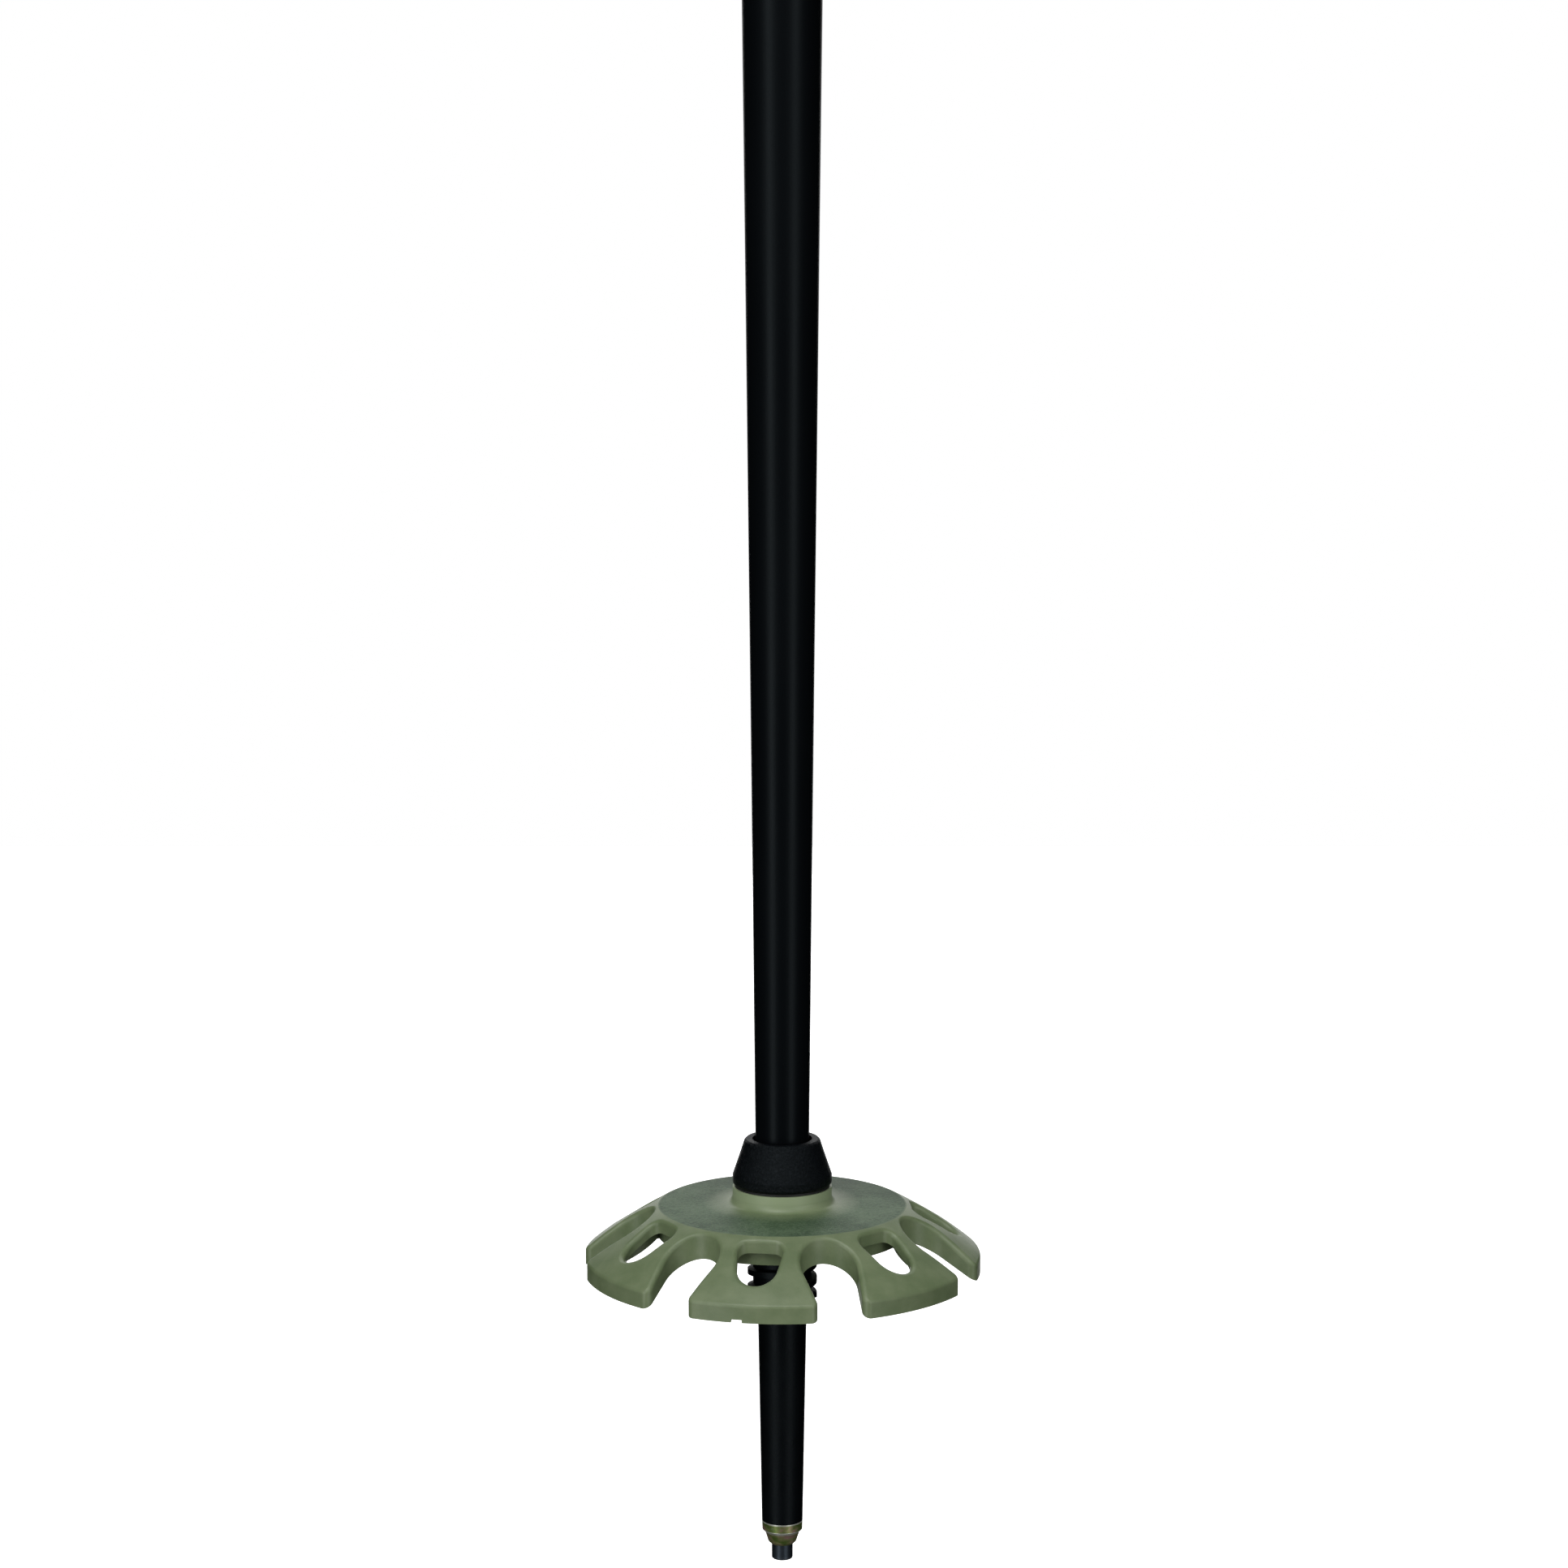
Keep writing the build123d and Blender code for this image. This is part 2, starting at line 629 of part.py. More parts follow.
def lock_lever():
    """Forked cam head and an arm that curves round the collar."""
    inner = lock_collar_r + LEVER_GAP
    outer = inner + LEVER_THICKNESS
    middle = (inner + outer) / 2
    angles = [math.radians(a) for a in (LEVER_START, (LEVER_START + LEVER_END) / 2, LEVER_END)]
    arm = make_face(
        [
            ThreePointArc(*[on_arc(inner, a) for a in angles]),
            Line(on_arc(inner, angles[2]), on_arc(outer, angles[2])),
            ThreePointArc(*[on_arc(outer, a) for a in reversed(angles)]),
            Line(on_arc(outer, angles[0]), on_arc(inner, angles[0])),
        ]
    )
    cam_centre = (pivot_x - CAM_THROW, screw_y)
    cam_r = CAM_R - CAM_THROW
    root = on_arc(middle, math.radians(LEVER_START - LINK_OVERLAP))
    link = make_hull(
        (Pos(*cam_centre) * Circle(cam_r)).edges() + (Pos(*root) * Circle(LEVER_THICKNESS / 2)).edges()
    )
    tip = Pos(*on_arc(middle, angles[2])) * Circle(LEVER_THICKNESS / 2 + LEVER_TIP_SWELL)
    low = screw_z - LEVER_HEIGHT / 2
    lever = Pos(0, 0, low) * extrude(arm + link + tip, LEVER_HEIGHT)
    fork_low = screw_z - FORK_GAP / 2
    lever -= upright(CAM_R + FORK_DEPTH, fork_low, fork_low + FORK_GAP, pivot_x, screw_y)
    return lever - upright(BARREL_R + RUNNING, low - 1, low + LEVER_HEIGHT + 1, pivot_x, screw_y)


def grip_core():
    core = sleeve(0, core_r, grip_bottom + CORE_START, grip_top - GLUE)
    return core - sleeve(0, tube_r + GLUE, grip_bottom, tube_top + GLUE)


def grip():
    """Hand grip with a ledge under the little finger and a wide head."""
    sections = [
        Pos(0, 0, grip_bottom + GRIP_LENGTH * share) * Ellipse(grip_half_x * x, grip_half_y * y)
        for share, x, y in GRIP_STATIONS
    ]
    body = loft(sections)
    body -= sleeve(0, core_r + GLUE, grip_bottom + CORE_START - GLUE, grip_top + 1)
    body -= sleeve(0, tube_r + GLUE, grip_bottom - 1, grip_bottom + CORE_START + 1)
    half = slot_width / 2
    return body - block((core_r, -half, slot_bottom), (grip_half_x + 5, half, slot_top))


def grip_cap():
    """Domed cap glued on the grip's head."""
    base = Pos(0, 0, grip_top + GLUE) * Ellipse(grip_half_x, grip_half_y)
    shoulder = Pos(0, 0, grip_top + CAP_HEIGHT * SHOULDER_SHARE)
    shoulder *= Ellipse(grip_half_x * SHOULDER_WIDTH, grip_half_y * SHOULDER_WIDTH)
    crown = Pos(0, 0, POLE_LENGTH) * Ellipse(grip_half_x * CROWN_WIDTH, grip_half_y * CROWN_WIDTH)
    return loft([base, shoulder, crown])


def grip_extension():
    """Foam sleeve with shallow rings under the grip."""
    pitch = EXTENSION_LENGTH / (FOAM_GROOVES + 1)
    foot = FOAM_GROOVE_FOOT / 2
    mouth = FOAM_GROOVE_MOUTH / 2
    foam = sleeve(tube_r + GLUE, foam_r, extension_bottom, grip_bottom - GLUE)
    for number in range(FOAM_GROOVES):
        centre = extension_bottom + pitch * (number + 1)
        foam -= turned(
            (foam_r - FOAM_GROOVE_DEPTH, centre - foot),
            (foam_r + 1, centre - mouth),
            (foam_r + 1, centre + mouth),
            (foam_r - FOAM_GROOVE_DEPTH, centre + foot),
        )
    return foam


def extension_ring():
    top = extension_bottom - GLUE
    bottom = top - END_RING_HEIGHT
    return turned(
        (tube_r + GLUE, bottom),
        (tube_r + RING_LIP, bottom),
        (foam_r - END_RING_INSET, top - END_RING_BAND),
        (foam_r - END_RING_INSET, top),
        (tube_r + GLUE, top),
    )


def strap_wedge():
    """Block that jams the two strap ends in the grip's slot."""
    half = slot_width / 2 - WEDGE_SIDE
    face_x = grip_half_x * WEDGE_REACH
    wedge = block((core_r + GLUE, -half, slot_bottom + GLUE), (face_x, half, slot_top - web_slot))
    front = wedge.faces().sort_by(Axis.X)[-1]
    return fillet(front.edges(), WEDGE_FILLET)


def strap_path():
    """Closed middle line of the hanging loop, seen from the side."""
    top = slot_top - web_slot / 2
    near = loop_near_x
    far = near + LOOP_DEPTH
    bottom = top - LOOP_LENGTH
    bight_r = LOOP_DEPTH / 2 - 1
    return FilletPolyline(
        (grip_half_x + LOOP_EXIT, top + LOOP_RISE),
        (near, top - EXIT_DROP),
        (near, bottom),
        (far, bottom),
        (far, top - RETURN_DROP),
        radius=[EXIT_BEND_R, EXIT_DROP, bight_r, bight_r, RETURN_BEND_R],
        close=True,
    )


def strap_webbing():
    middle = make_face(strap_path())
    band = offset(middle, WEB_THICKNESS / 2) - offset(middle, -WEB_THICKNESS / 2)
    return extrude(Plane.XZ * band, WEB_WIDTH / 2, both=True)


def strap_padding():
    """Soft lining on the inside of the loop's outer run."""
    far = loop_near_x + LOOP_DEPTH - WEB_THICKNESS / 2
    bottom = slot_top - web_slot / 2 - LOOP_LENGTH + LOOP_DEPTH / 2
    half = PAD_WIDTH / 2
    pad = block((far - PAD_THICKNESS, -half, bottom), (far, half, bottom + PAD_LENGTH))
    return fillet(pad.edges().filter_by(Axis.X), PAD_CORNER)


NODES = {
    "carbide_pin": carbide_pin,
    "tip_cup": tip_cup,
    "tip_ferrule": tip_ferrule,
    "basket_washer": basket_washer,
    "snow_basket": snow_basket,
    "lower_shaft": lower_shaft,
    "shaft_end_plug": shaft_end_plug,
    "upper_shaft": upper_shaft,
    "clamp_collar": clamp_collar,
    "cam_plate": cam_plate,
    "barrel_pin": barrel_pin,
    "tension_screw": tension_screw,
    "thumb_wheel": thumb_wheel,
    "lock_washer": lock_washer,
    "lock_lever": lock_lever,
    "grip_core": grip_core,
    "grip": grip,
    "grip_cap": grip_cap,
    "grip_extension": grip_extension,
    "extension_ring": extension_ring,
    "strap_wedge": strap_wedge,
    "strap_webbing": strap_webbing,
    "strap_padding": strap_padding,
}

os.makedirs("parts", exist_ok=True)
for name, make in NODES.items():
    export_step(make(), f"parts/{name}.step")
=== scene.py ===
import json
import math

import bmesh
import bpy
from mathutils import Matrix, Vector


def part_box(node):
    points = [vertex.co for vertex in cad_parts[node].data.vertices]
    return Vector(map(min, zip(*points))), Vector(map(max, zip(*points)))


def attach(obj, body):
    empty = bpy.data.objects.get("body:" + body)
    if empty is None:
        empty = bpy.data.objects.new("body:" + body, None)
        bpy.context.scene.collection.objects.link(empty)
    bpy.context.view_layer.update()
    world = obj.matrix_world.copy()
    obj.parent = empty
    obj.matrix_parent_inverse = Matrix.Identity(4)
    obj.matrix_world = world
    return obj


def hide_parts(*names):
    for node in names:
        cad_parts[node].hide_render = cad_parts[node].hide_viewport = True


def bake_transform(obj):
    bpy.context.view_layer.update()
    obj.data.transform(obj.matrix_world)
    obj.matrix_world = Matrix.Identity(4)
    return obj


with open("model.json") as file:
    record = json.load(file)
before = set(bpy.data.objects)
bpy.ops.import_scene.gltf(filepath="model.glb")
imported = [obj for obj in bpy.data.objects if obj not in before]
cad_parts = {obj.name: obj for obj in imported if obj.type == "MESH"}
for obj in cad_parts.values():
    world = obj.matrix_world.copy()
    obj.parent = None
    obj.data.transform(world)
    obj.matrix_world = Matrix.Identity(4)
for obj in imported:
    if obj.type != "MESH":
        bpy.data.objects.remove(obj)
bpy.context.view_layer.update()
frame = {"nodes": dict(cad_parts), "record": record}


# ---------------------------------------------------------------- Studio
# A pale floor, low enough for the pole at its longest, and a white surround. Two tall strips in
# front draw the two long highlights on the black tubes and fade towards the tip. A high key lights
# the basket, and two panels fill in from behind.


def place_in_scene(name, data):
    """A new object of the scene, holding this data."""
    thing = bpy.data.objects.new(name, data)
    bpy.context.scene.collection.objects.link(thing)
    return thing


def joint_facts(name):
    """The record's own entry for one joint."""
    return [joint for joint in frame["record"]["behaviour"]["joints"] if joint["name"] == name][0]


tip_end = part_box("carbide_pin")[0].z

camera_height = 0.3209
camera_distance = 0.900
camera_pitch = 8.7
camera_side = 0.0004
focal_length = 92.0

camera = place_in_scene("camera", bpy.data.cameras.new("camera"))
camera.data.sensor_width = 36.0
camera.data.lens = focal_length
camera.location = (camera_side, -camera_distance, tip_end + camera_height)
camera.rotation_euler = (math.radians(90 - camera_pitch), 0, 0)
bpy.context.scene.camera = camera
bpy.context.scene.view_settings.view_transform = "Standard"

surround_on_pole, surround_seen = 0.14, 1.0
surround = bpy.data.worlds.new("white_surround")
surround.use_nodes = True
surround.cycles_visibility.glossy = False
background = surround.node_tree.nodes["Background"]
seen = surround.node_tree.nodes.new("ShaderNodeLightPath")
strength = surround.node_tree.nodes.new("ShaderNodeMapRange")
strength.inputs["To Min"].default_value = surround_on_pole
strength.inputs["To Max"].default_value = surround_seen
surround.node_tree.links.new(seen.outputs["Is Camera Ray"], strength.inputs["Value"])
surround.node_tree.links.new(strength.outputs["Result"], background.inputs["Strength"])
background.inputs["Color"].default_value = (1, 1, 1, 1)
bpy.context.scene.world = surround


def soft_box(name, place, aim, width, height, watts):
    """A rectangular light at place, turned towards aim and hidden from the camera."""
    light = bpy.data.lights.new(name, "AREA")
    light.shape = "RECTANGLE"
    light.size = width
    light.size_y = height
    light.energy = watts
    box = place_in_scene(name, light)
    box.location = place
    box.rotation_euler = (Vector(aim) - Vector(place)).to_track_quat("-Z", "Y").to_euler()
    box.visible_camera = False


strip_distance, strip_width = 1.1, 0.30
strip_foot, strip_join, strip_top = -0.75, -0.10, 1.65
strip_parts = (("low", strip_foot, strip_join, 0.65), ("high", strip_join, strip_top, 1.0))
for side, azimuth, watts_a_metre in (("left", -39, 3.5), ("right", 39, 2.7)):
    turn = math.radians(azimuth)
    for part, low, high, share in strip_parts:
        middle = (low + high) / 2
        place = (strip_distance * math.sin(turn), -strip_distance * math.cos(turn), middle)
        watts = watts_a_metre * share * (high - low)
        soft_box(side + "_strip_" + part, place, (0, 0, middle), strip_width, high - low, watts)
soft_box("high_key", (-0.25, -0.80, 1.7), (0, 0, 0.1), width=1.1, height=1.1, watts=15)
soft_box("back_fill", (0, 1.5, 0.9), (0, 0, 0.3), width=1.5, height=1.5, watts=9)
soft_box("low_back_fill", (0, 1.5, -0.35), (0, 0, -0.35), width=1.0, height=0.8, watts=5)

floor_reach, floor_clearance = 1.6, 0.002
floor_level = tip_end + joint_facts("length_slide")["range_m"][0] - floor_clearance
floor_mesh = bpy.data.meshes.new("floor")
floor_mesh.from_pydata(
    [(x * floor_reach, y * floor_reach, floor_level) for x, y in ((-1, -1), (1, -1), (1, 1), (-1, 1))],
    [],
    [(0, 1, 2, 3)],
)
floor = place_in_scene("floor", floor_mesh)
pale_floor = bpy.data.materials.new("pale_floor")
pale_floor.use_nodes = True
pale = pale_floor.node_tree.nodes["Principled BSDF"]
pale.inputs["Base Color"].default_value = (0.9, 0.9, 0.9, 1)
pale.inputs["Roughness"].default_value = 0.9
pale.inputs["Emission Color"].default_value = (1, 1, 1, 1)
pale.inputs["Emission Strength"].default_value = 1.0
floor_mesh.materials.append(pale_floor)
floor.visible_glossy = False
floor.visible_diffuse = False
floor.visible_shadow = False


# ---------------------------------------------------------------- Carbide point
# A short pin of sintered tungsten carbide pressed into the steel cup. Its skin is dark blue-grey,
# faintly grainy from the press, and a little brighter round the worn bottom edge.


def new_finish(name):
    """A material with its shader, its object coordinates and its node tree."""
    material = bpy.data.materials.new(name)
    material.use_nodes = True
    tree = material.node_tree
    place = tree.nodes.new("ShaderNodeTexCoord")
    return material, tree, tree.nodes["Principled BSDF"], place.outputs["Object"]


def stretched(tree, vector, scale):
    """Coordinates scaled along each axis; a low scale draws a texture out."""
    mapping = tree.nodes.new("ShaderNodeMapping")
    mapping.inputs["Scale"].default_value = scale
    tree.links.new(vector, mapping.inputs["Vector"])
    return mapping.outputs["Vector"]


def noise(tree, vector, scale, detail=2.0, roughness=0.5):
    texture = tree.nodes.new("ShaderNodeTexNoise")
    texture.inputs["Scale"].default_value = scale
    texture.inputs["Detail"].default_value = detail
    texture.inputs["Roughness"].default_value = roughness
    tree.links.new(vector, texture.inputs["Vector"])
    return texture.outputs["Fac"]


def spread(tree, value, low, high, out_low, out_high):
    """Value stretched from one range to another, and held at its ends."""
    change = tree.nodes.new("ShaderNodeMapRange")
    sockets = ("From Min", "From Max", "To Min", "To Max")
    for socket, number in zip(sockets, (low, high, out_low, out_high)):
        change.inputs[socket].default_value = number
    tree.links.new(value, change.inputs["Value"])
    return change.outputs["Result"]


def feed(tree, entry, value):
    """Links another node's output to an input, or sets the input to a plain value."""
    if isinstance(value, bpy.types.NodeSocket):
        tree.links.new(value, entry)
    else:
        entry.default_value = value


def tint(tree, share, first, second):
    """A colour from first, where the share is 0, to second, where it is 1."""
    mix = tree.nodes.new("ShaderNodeMix")
    mix.data_type = "RGBA"
    for socket, colour in (("A", first), ("B", second)):
        entry = [i for i in mix.inputs if i.name == socket and i.type == "RGBA"][0]
        feed(tree, entry, colour if isinstance(colour, bpy.types.NodeSocket) else (*colour, 1))
    tree.links.new(share, mix.inputs["Factor"])
    return [o for o in mix.outputs if o.type == "RGBA"][0]


def paint(tree, shader, share, first, second):
    """Gives the shader its colour, from first to second by the share."""
    tree.links.new(tint(tree, share, first, second), shader.inputs["Base Color"])


def roughen(tree, shader, texture, smooth, rough):
    """Roughness that follows a texture; most of a noise lies between 0.3 and 0.7."""
    tree.links.new(spread(tree, texture, 0.3, 0.7, smooth, rough), shader.inputs["Roughness"])


def sums(tree, kind, first, second=0):
    maths = tree.nodes.new("ShaderNodeMath")
    maths.operation = kind
    for entry, value in zip(maths.inputs, (first, second)):
        feed(tree, entry, value)
    return maths.outputs["Value"]


def relief(tree, shader, height, depth, strength):
    """Fine relief of the skin: depth is in metres where the height is 1."""
    bump = tree.nodes.new("ShaderNodeBump")
    bump.inputs["Strength"].default_value = strength
    bump.inputs["Distance"].default_value = depth
    tree.links.new(height, bump.inputs["Height"])
    tree.links.new(bump.outputs["Normal"], shader.inputs["Normal"])


def split(tree, vector):
    parts = tree.nodes.new("ShaderNodeSeparateXYZ")
    tree.links.new(vector, parts.inputs["Vector"])
    return parts.outputs


def coat(node, material):
    """Gives a CAD node its finish."""
    skin = frame["nodes"][node].data.materials
    skin.clear()
    skin.append(material)


carbide, tree, shader, place = new_finish("sintered_carbide")
worn_height = 0.0009
grain = noise(tree, place, 5200, 3, 0.6)
worn = spread(tree, split(tree, place)["Z"], tip_end, tip_end + worn_height, 1, 0)
dark = tint(tree, grain, (0.030, 0.042, 0.056), (0.070, 0.088, 0.108))
paint(tree, shader, worn, dark, (0.11, 0.13, 0.15))
shader.inputs["Metallic"].default_value = 0.85
roughen(tree, shader, grain, 0.36, 0.52)
relief(tree, shader, grain, 0.00002, 0.6)
coat("carbide_pin", carbide)


# ---------------------------------------------------------------- Tip cup
# Turned steel holder with a chamfered skirt. It is zinc plated and passivated yellow, so the film
# shifts between gold, green and pink over a few millimetres, and fine tool marks run round it.

zinc_plate, tree, shader, place = new_finish("yellow_zinc_plate")
cone_height, chamfer_height, lip_width = 0.0029, 0.0007, 0.00045
edge_blend, lip_blend = 0.0001, 0.00015
chamfer_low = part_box("tip_cup")[0].z + cone_height
chamfer_high = chamfer_low + chamfer_height
lip_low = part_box("tip_ferrule")[0].z - lip_width
height = split(tree, place)["Z"]
patches = noise(tree, stretched(tree, place, (1, 1, 1.6)), 330, 2, 0.55)
drift = noise(tree, place, 900, 3, 0.6)
gold_share = spread(tree, patches, 0.40, 0.58, 0, 1)
green_gold = tint(tree, gold_share, (0.11, 0.17, 0.035), (0.30, 0.29, 0.13))
film = tint(tree, spread(tree, patches, 0.54, 0.66, 0, 1), green_gold, (0.36, 0.22, 0.20))
# Lighter silvery bands round the lip and the chamfer, with patches where the drift noise is high.
lip = spread(tree, height, lip_low, lip_low + lip_blend, 0, 1)
above = spread(tree, height, chamfer_low - edge_blend, chamfer_low, 0, 1)
below = spread(tree, height, chamfer_high, chamfer_high + edge_blend, 1, 0)
silver_edge_bands = sums(tree, "MAXIMUM", lip, sums(tree, "MULTIPLY", above, below))
silvering = sums(tree, "ADD", sums(tree, "MULTIPLY", silver_edge_bands, 0.8), drift)
silver_share = spread(tree, silvering, 0.62, 1.5, 0, 1)
paint(tree, shader, silver_share, film, (0.72, 0.74, 0.68))
shader.inputs["Metallic"].default_value = 0.6
roughen(tree, shader, drift, 0.30, 0.44)
rings = noise(tree, stretched(tree, place, (0.02, 0.02, 1)), 7000, 1)
relief(tree, shader, rings, 0.000025, 0.5)
coat("tip_cup", zinc_plate)


# ---------------------------------------------------------------- Ferrule
# Glass-filled black nylon, moulded in one shot: the tapered stem, the coarse thread and the flared
# collar. The collar's tool was spark-eroded, so it is grained; the stem is drawn smoother.

black_nylon, tree, shader, place = new_finish("black_nylon")
collar_foot, collar_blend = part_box("basket_washer")[1].z, 0.0005
collar_share = spread(tree, split(tree, place)["Z"], collar_foot - collar_blend, collar_foot, 0, 1)
grain = noise(tree, place, 1900, 3, 0.65)
cloud = noise(tree, place, 140, 3, 0.5)
nylon_black = tint(tree, cloud, (0.0012, 0.0017, 0.0022), (0.0024, 0.0032, 0.0041))
specks = sums(tree, "MULTIPLY", spread(tree, grain, 0.50, 0.64, 0, 1), collar_share)
paint(tree, shader, specks, nylon_black, (0.0062, 0.0078, 0.0094))
roughen(tree, shader, cloud, 0.40, 0.50)
shader.inputs["Specular IOR Level"].default_value = 0.135
shader.inputs["Specular Tint"].default_value = (0.78, 0.93, 1.0, 1)
coarseness = spread(tree, collar_share, 0, 1, 0.12, 1.0)
relief(tree, shader, sums(tree, "MULTIPLY", grain, coarseness), 0.00040, 0.9)
coat("tip_ferrule", black_nylon)


# ---------------------------------------------------------------- Basket washer
# A thin stamped ring of black plastic between the hub and the collar, so the basket can be turned
# off without scuffing either. It is matt, with the faint marks of the press.

washer_plastic, tree, shader, place = new_finish("washer_plastic")
press_marks = noise(tree, stretched(tree, place, (1, 1, 6)), 700, 3, 0.6)
paint(tree, shader, press_marks, (0.006, 0.007, 0.008), (0.016, 0.017, 0.018))
roughen(tree, shader, press_marks, 0.55, 0.70)
relief(tree, shader, press_marks, 0.00004, 0.6)
coat("basket_washer", washer_plastic)


# ---------------------------------------------------------------- Snow basket
# Olive thermoplastic rubber, moulded: a grained flat disc round the hub and seven satin petals.
# The flow of the plastic shows as faint streaks that run out along the petals.

olive, tree, shader, place = new_finish("olive_basket_plastic")
parts = split(tree, place)
flat = tree.nodes.new("ShaderNodeCombineXYZ")
tree.links.new(parts["X"], flat.inputs["X"])
tree.links.new(parts["Y"], flat.inputs["Y"])
radius = tree.nodes.new("ShaderNodeVectorMath")
radius.operation = "LENGTH"
tree.links.new(flat.outputs["Vector"], radius.inputs[0])
from_axis = radius.outputs["Value"]
grain_start, grain_fade = 0.0122, 0.0063
grain_end, grain_border = 0.0282, 0.0008
disc_edge = spread(tree, from_axis, grain_end, grain_end + grain_border, 1, 0)
disc_start = spread(tree, from_axis, grain_start, grain_start + grain_fade, 0, 1)
facing = tree.nodes.new("ShaderNodeNewGeometry")
upward = spread(tree, split(tree, facing.outputs["Normal"])["Z"], 0.90, 0.96, 0, 1)
disc = sums(tree, "MULTIPLY", sums(tree, "MULTIPLY", disc_edge, disc_start), upward)
streaks = noise(tree, place, 190, 4, 0.55)
speckle = noise(tree, place, 1300, 4, 0.7)
swirl = noise(tree, place, 70, 4, 0.6)
fine = noise(tree, place, 4200, 2, 0.6)
flow = spread(tree, streaks, 0.35, 0.65, 0, 1)
petal_colour = tint(tree, flow, (0.132, 0.178, 0.088), (0.172, 0.218, 0.118))
mottle = spread(tree, sums(tree, "ADD", speckle, swirl), 0.86, 1.18, 0, 1)
disc_colour = tint(tree, mottle, (0.036, 0.076, 0.034), (0.105, 0.168, 0.092))
# Painted light: the hub's wall is painted a lighter olive than the moulding, for the light it catches
# from the front.
hub_radius, hub_height = 0.0125, 0.0036
wall_fade, rise_start, rise_end = 0.0015, -0.0002, 0.0018
hub_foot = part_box("basket_washer")[0].z - hub_height
hub_wall = spread(tree, from_axis, hub_radius, hub_radius + wall_fade, 1, 0)
hub_rise = spread(tree, parts["Z"], hub_foot + rise_start, hub_foot + rise_end, 0, 1)
painted_hub_light = sums(tree, "MULTIPLY", hub_rise, hub_wall)
moulded = tint(tree, disc, petal_colour, disc_colour)
paint(tree, shader, painted_hub_light, moulded, (0.300, 0.370, 0.220))
tree.links.new(spread(tree, disc, 0, 1, 0.40, 0.56), shader.inputs["Roughness"])
shader.inputs["Specular IOR Level"].default_value = 0.45
coarse = sums(tree, "MULTIPLY", speckle, disc)
satin = sums(tree, "MULTIPLY", fine, 0.10)
relief(tree, shader, sums(tree, "ADD", coarse, satin), 0.00034, 0.9)
coat("snow_basket", olive)


# ---------------------------------------------------------------- Lower shaft
# Drawn aluminium tube, tapered towards the tip and anodised satin black. Thin grey rings round its
# straight stretch show how far it is pushed in. A nylon plug closes its hidden top end.

ring_pitch, ring_width, ringed_length = 0.010, 0.0005, 0.20
ring_blend, end_blend = 0.01, 0.0001
ring_grey = (0.20, 0.21, 0.21)


def tube_finish(name, ringed):
    """Satin black anodising with fine drawing lines, and the length rings where it is ringed."""
    material, tree, shader, place = new_finish(name)
    lines = noise(tree, stretched(tree, place, (1, 1, 0.004)), 2400, 2)
    cloud = noise(tree, stretched(tree, place, (1, 1, 0.25)), 60, 3)
    black = tint(tree, cloud, (0.0014, 0.0019, 0.0025), (0.0028, 0.0036, 0.0045))
    if ringed:
        height = split(tree, place)["Z"]
        lock_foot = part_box("clamp_collar")[0].z
        lowest_ring = lock_foot - ringed_length
        width_share = ring_width / ring_pitch
        below_lock = sums(tree, "DIVIDE", sums(tree, "SUBTRACT", lock_foot, height), ring_pitch)
        phase = sums(tree, "FRACT", below_lock)
        ring = spread(tree, phase, width_share, width_share + ring_blend, 1, 0)
        marked = spread(tree, height, lowest_ring, lowest_ring + end_blend, 0, 1)
        black = tint(tree, sums(tree, "MULTIPLY", ring, marked), black, ring_grey)
    tree.links.new(black, shader.inputs["Base Color"])
    roughen(tree, shader, cloud, 0.33, 0.39)
    shader.inputs["Specular IOR Level"].default_value = 0.095
    shader.inputs["Specular Tint"].default_value = (0.78, 0.93, 1.0, 1)
    relief(tree, shader, lines, 0.00001, 0.25)
    return material


coat("lower_shaft", tube_finish("black_anodised_tube", ringed=True))

plug_plastic, tree, shader, place = new_finish("plug_plastic")
haze = noise(tree, place, 500, 3, 0.6)
paint(tree, shader, haze, (0.014, 0.015, 0.016), (0.030, 0.031, 0.032))
roughen(tree, shader, haze, 0.5, 0.65)
relief(tree, shader, haze, 0.00005, 0.5)
coat("shaft_end_plug", plug_plastic)


# ---------------------------------------------------------------- Upper shaft
# The plain outer tube of the same drawn and anodised aluminium. The clamp collar is glued over its
# lower end and the grip over its upper one.

coat("upper_shaft", tube_finish("black_anodised_upper_tube", ringed=False))


# ---------------------------------------------------------------- Clamp collar
# Glass-filled nylon, moulded with a split and two ears that the lever draws together. The tool was
# spark-eroded all over, so the whole piece has an even grain.

grained_nylon, tree, shader, place = new_finish("grained_nylon")
grain = noise(tree, place, 2200, 3, 0.6)
cloud = noise(tree, place, 110, 3)
paint(tree, shader, cloud, (0.0050, 0.0056, 0.0064), (0.0100, 0.0108, 0.0120))
roughen(tree, shader, grain, 0.42, 0.56)
shader.inputs["Specular IOR Level"].default_value = 0.35
relief(tree, shader, grain, 0.00010, 0.9)
coat("clamp_collar", grained_nylon)


# ---------------------------------------------------------------- Lever hardware
# Bright steel pieces: the cam plate pressed from strip, the turned barrel pin that the lever swings
# on, the tension screw through it and a thin washer. The thumb wheel on the screw is nylon.

bright_steel, tree, shader, place = new_finish("bright_steel")
tool_lines = noise(tree, stretched(tree, place, (0.05, 1, 1)), 3200, 3, 0.6)
tarnish = noise(tree, place, 260, 3, 0.6)
paint(tree, shader, tarnish, (0.42, 0.42, 0.42), (0.62, 0.62, 0.63))
shader.inputs["Metallic"].default_value = 1.0
roughen(tree, shader, tool_lines, 0.24, 0.42)
relief(tree, shader, tool_lines, 0.00003, 0.6)
for node in ("cam_plate", "barrel_pin", "tension_screw", "lock_washer"):
    coat(node, bright_steel)
coat("thumb_wheel", grained_nylon)


# ---------------------------------------------------------------- Lock lever
# Forged aluminium, tumbled smooth and anodised satin black. Five low ribs near the free end give
# the thumb a hold; they follow the lever's curved outer face.

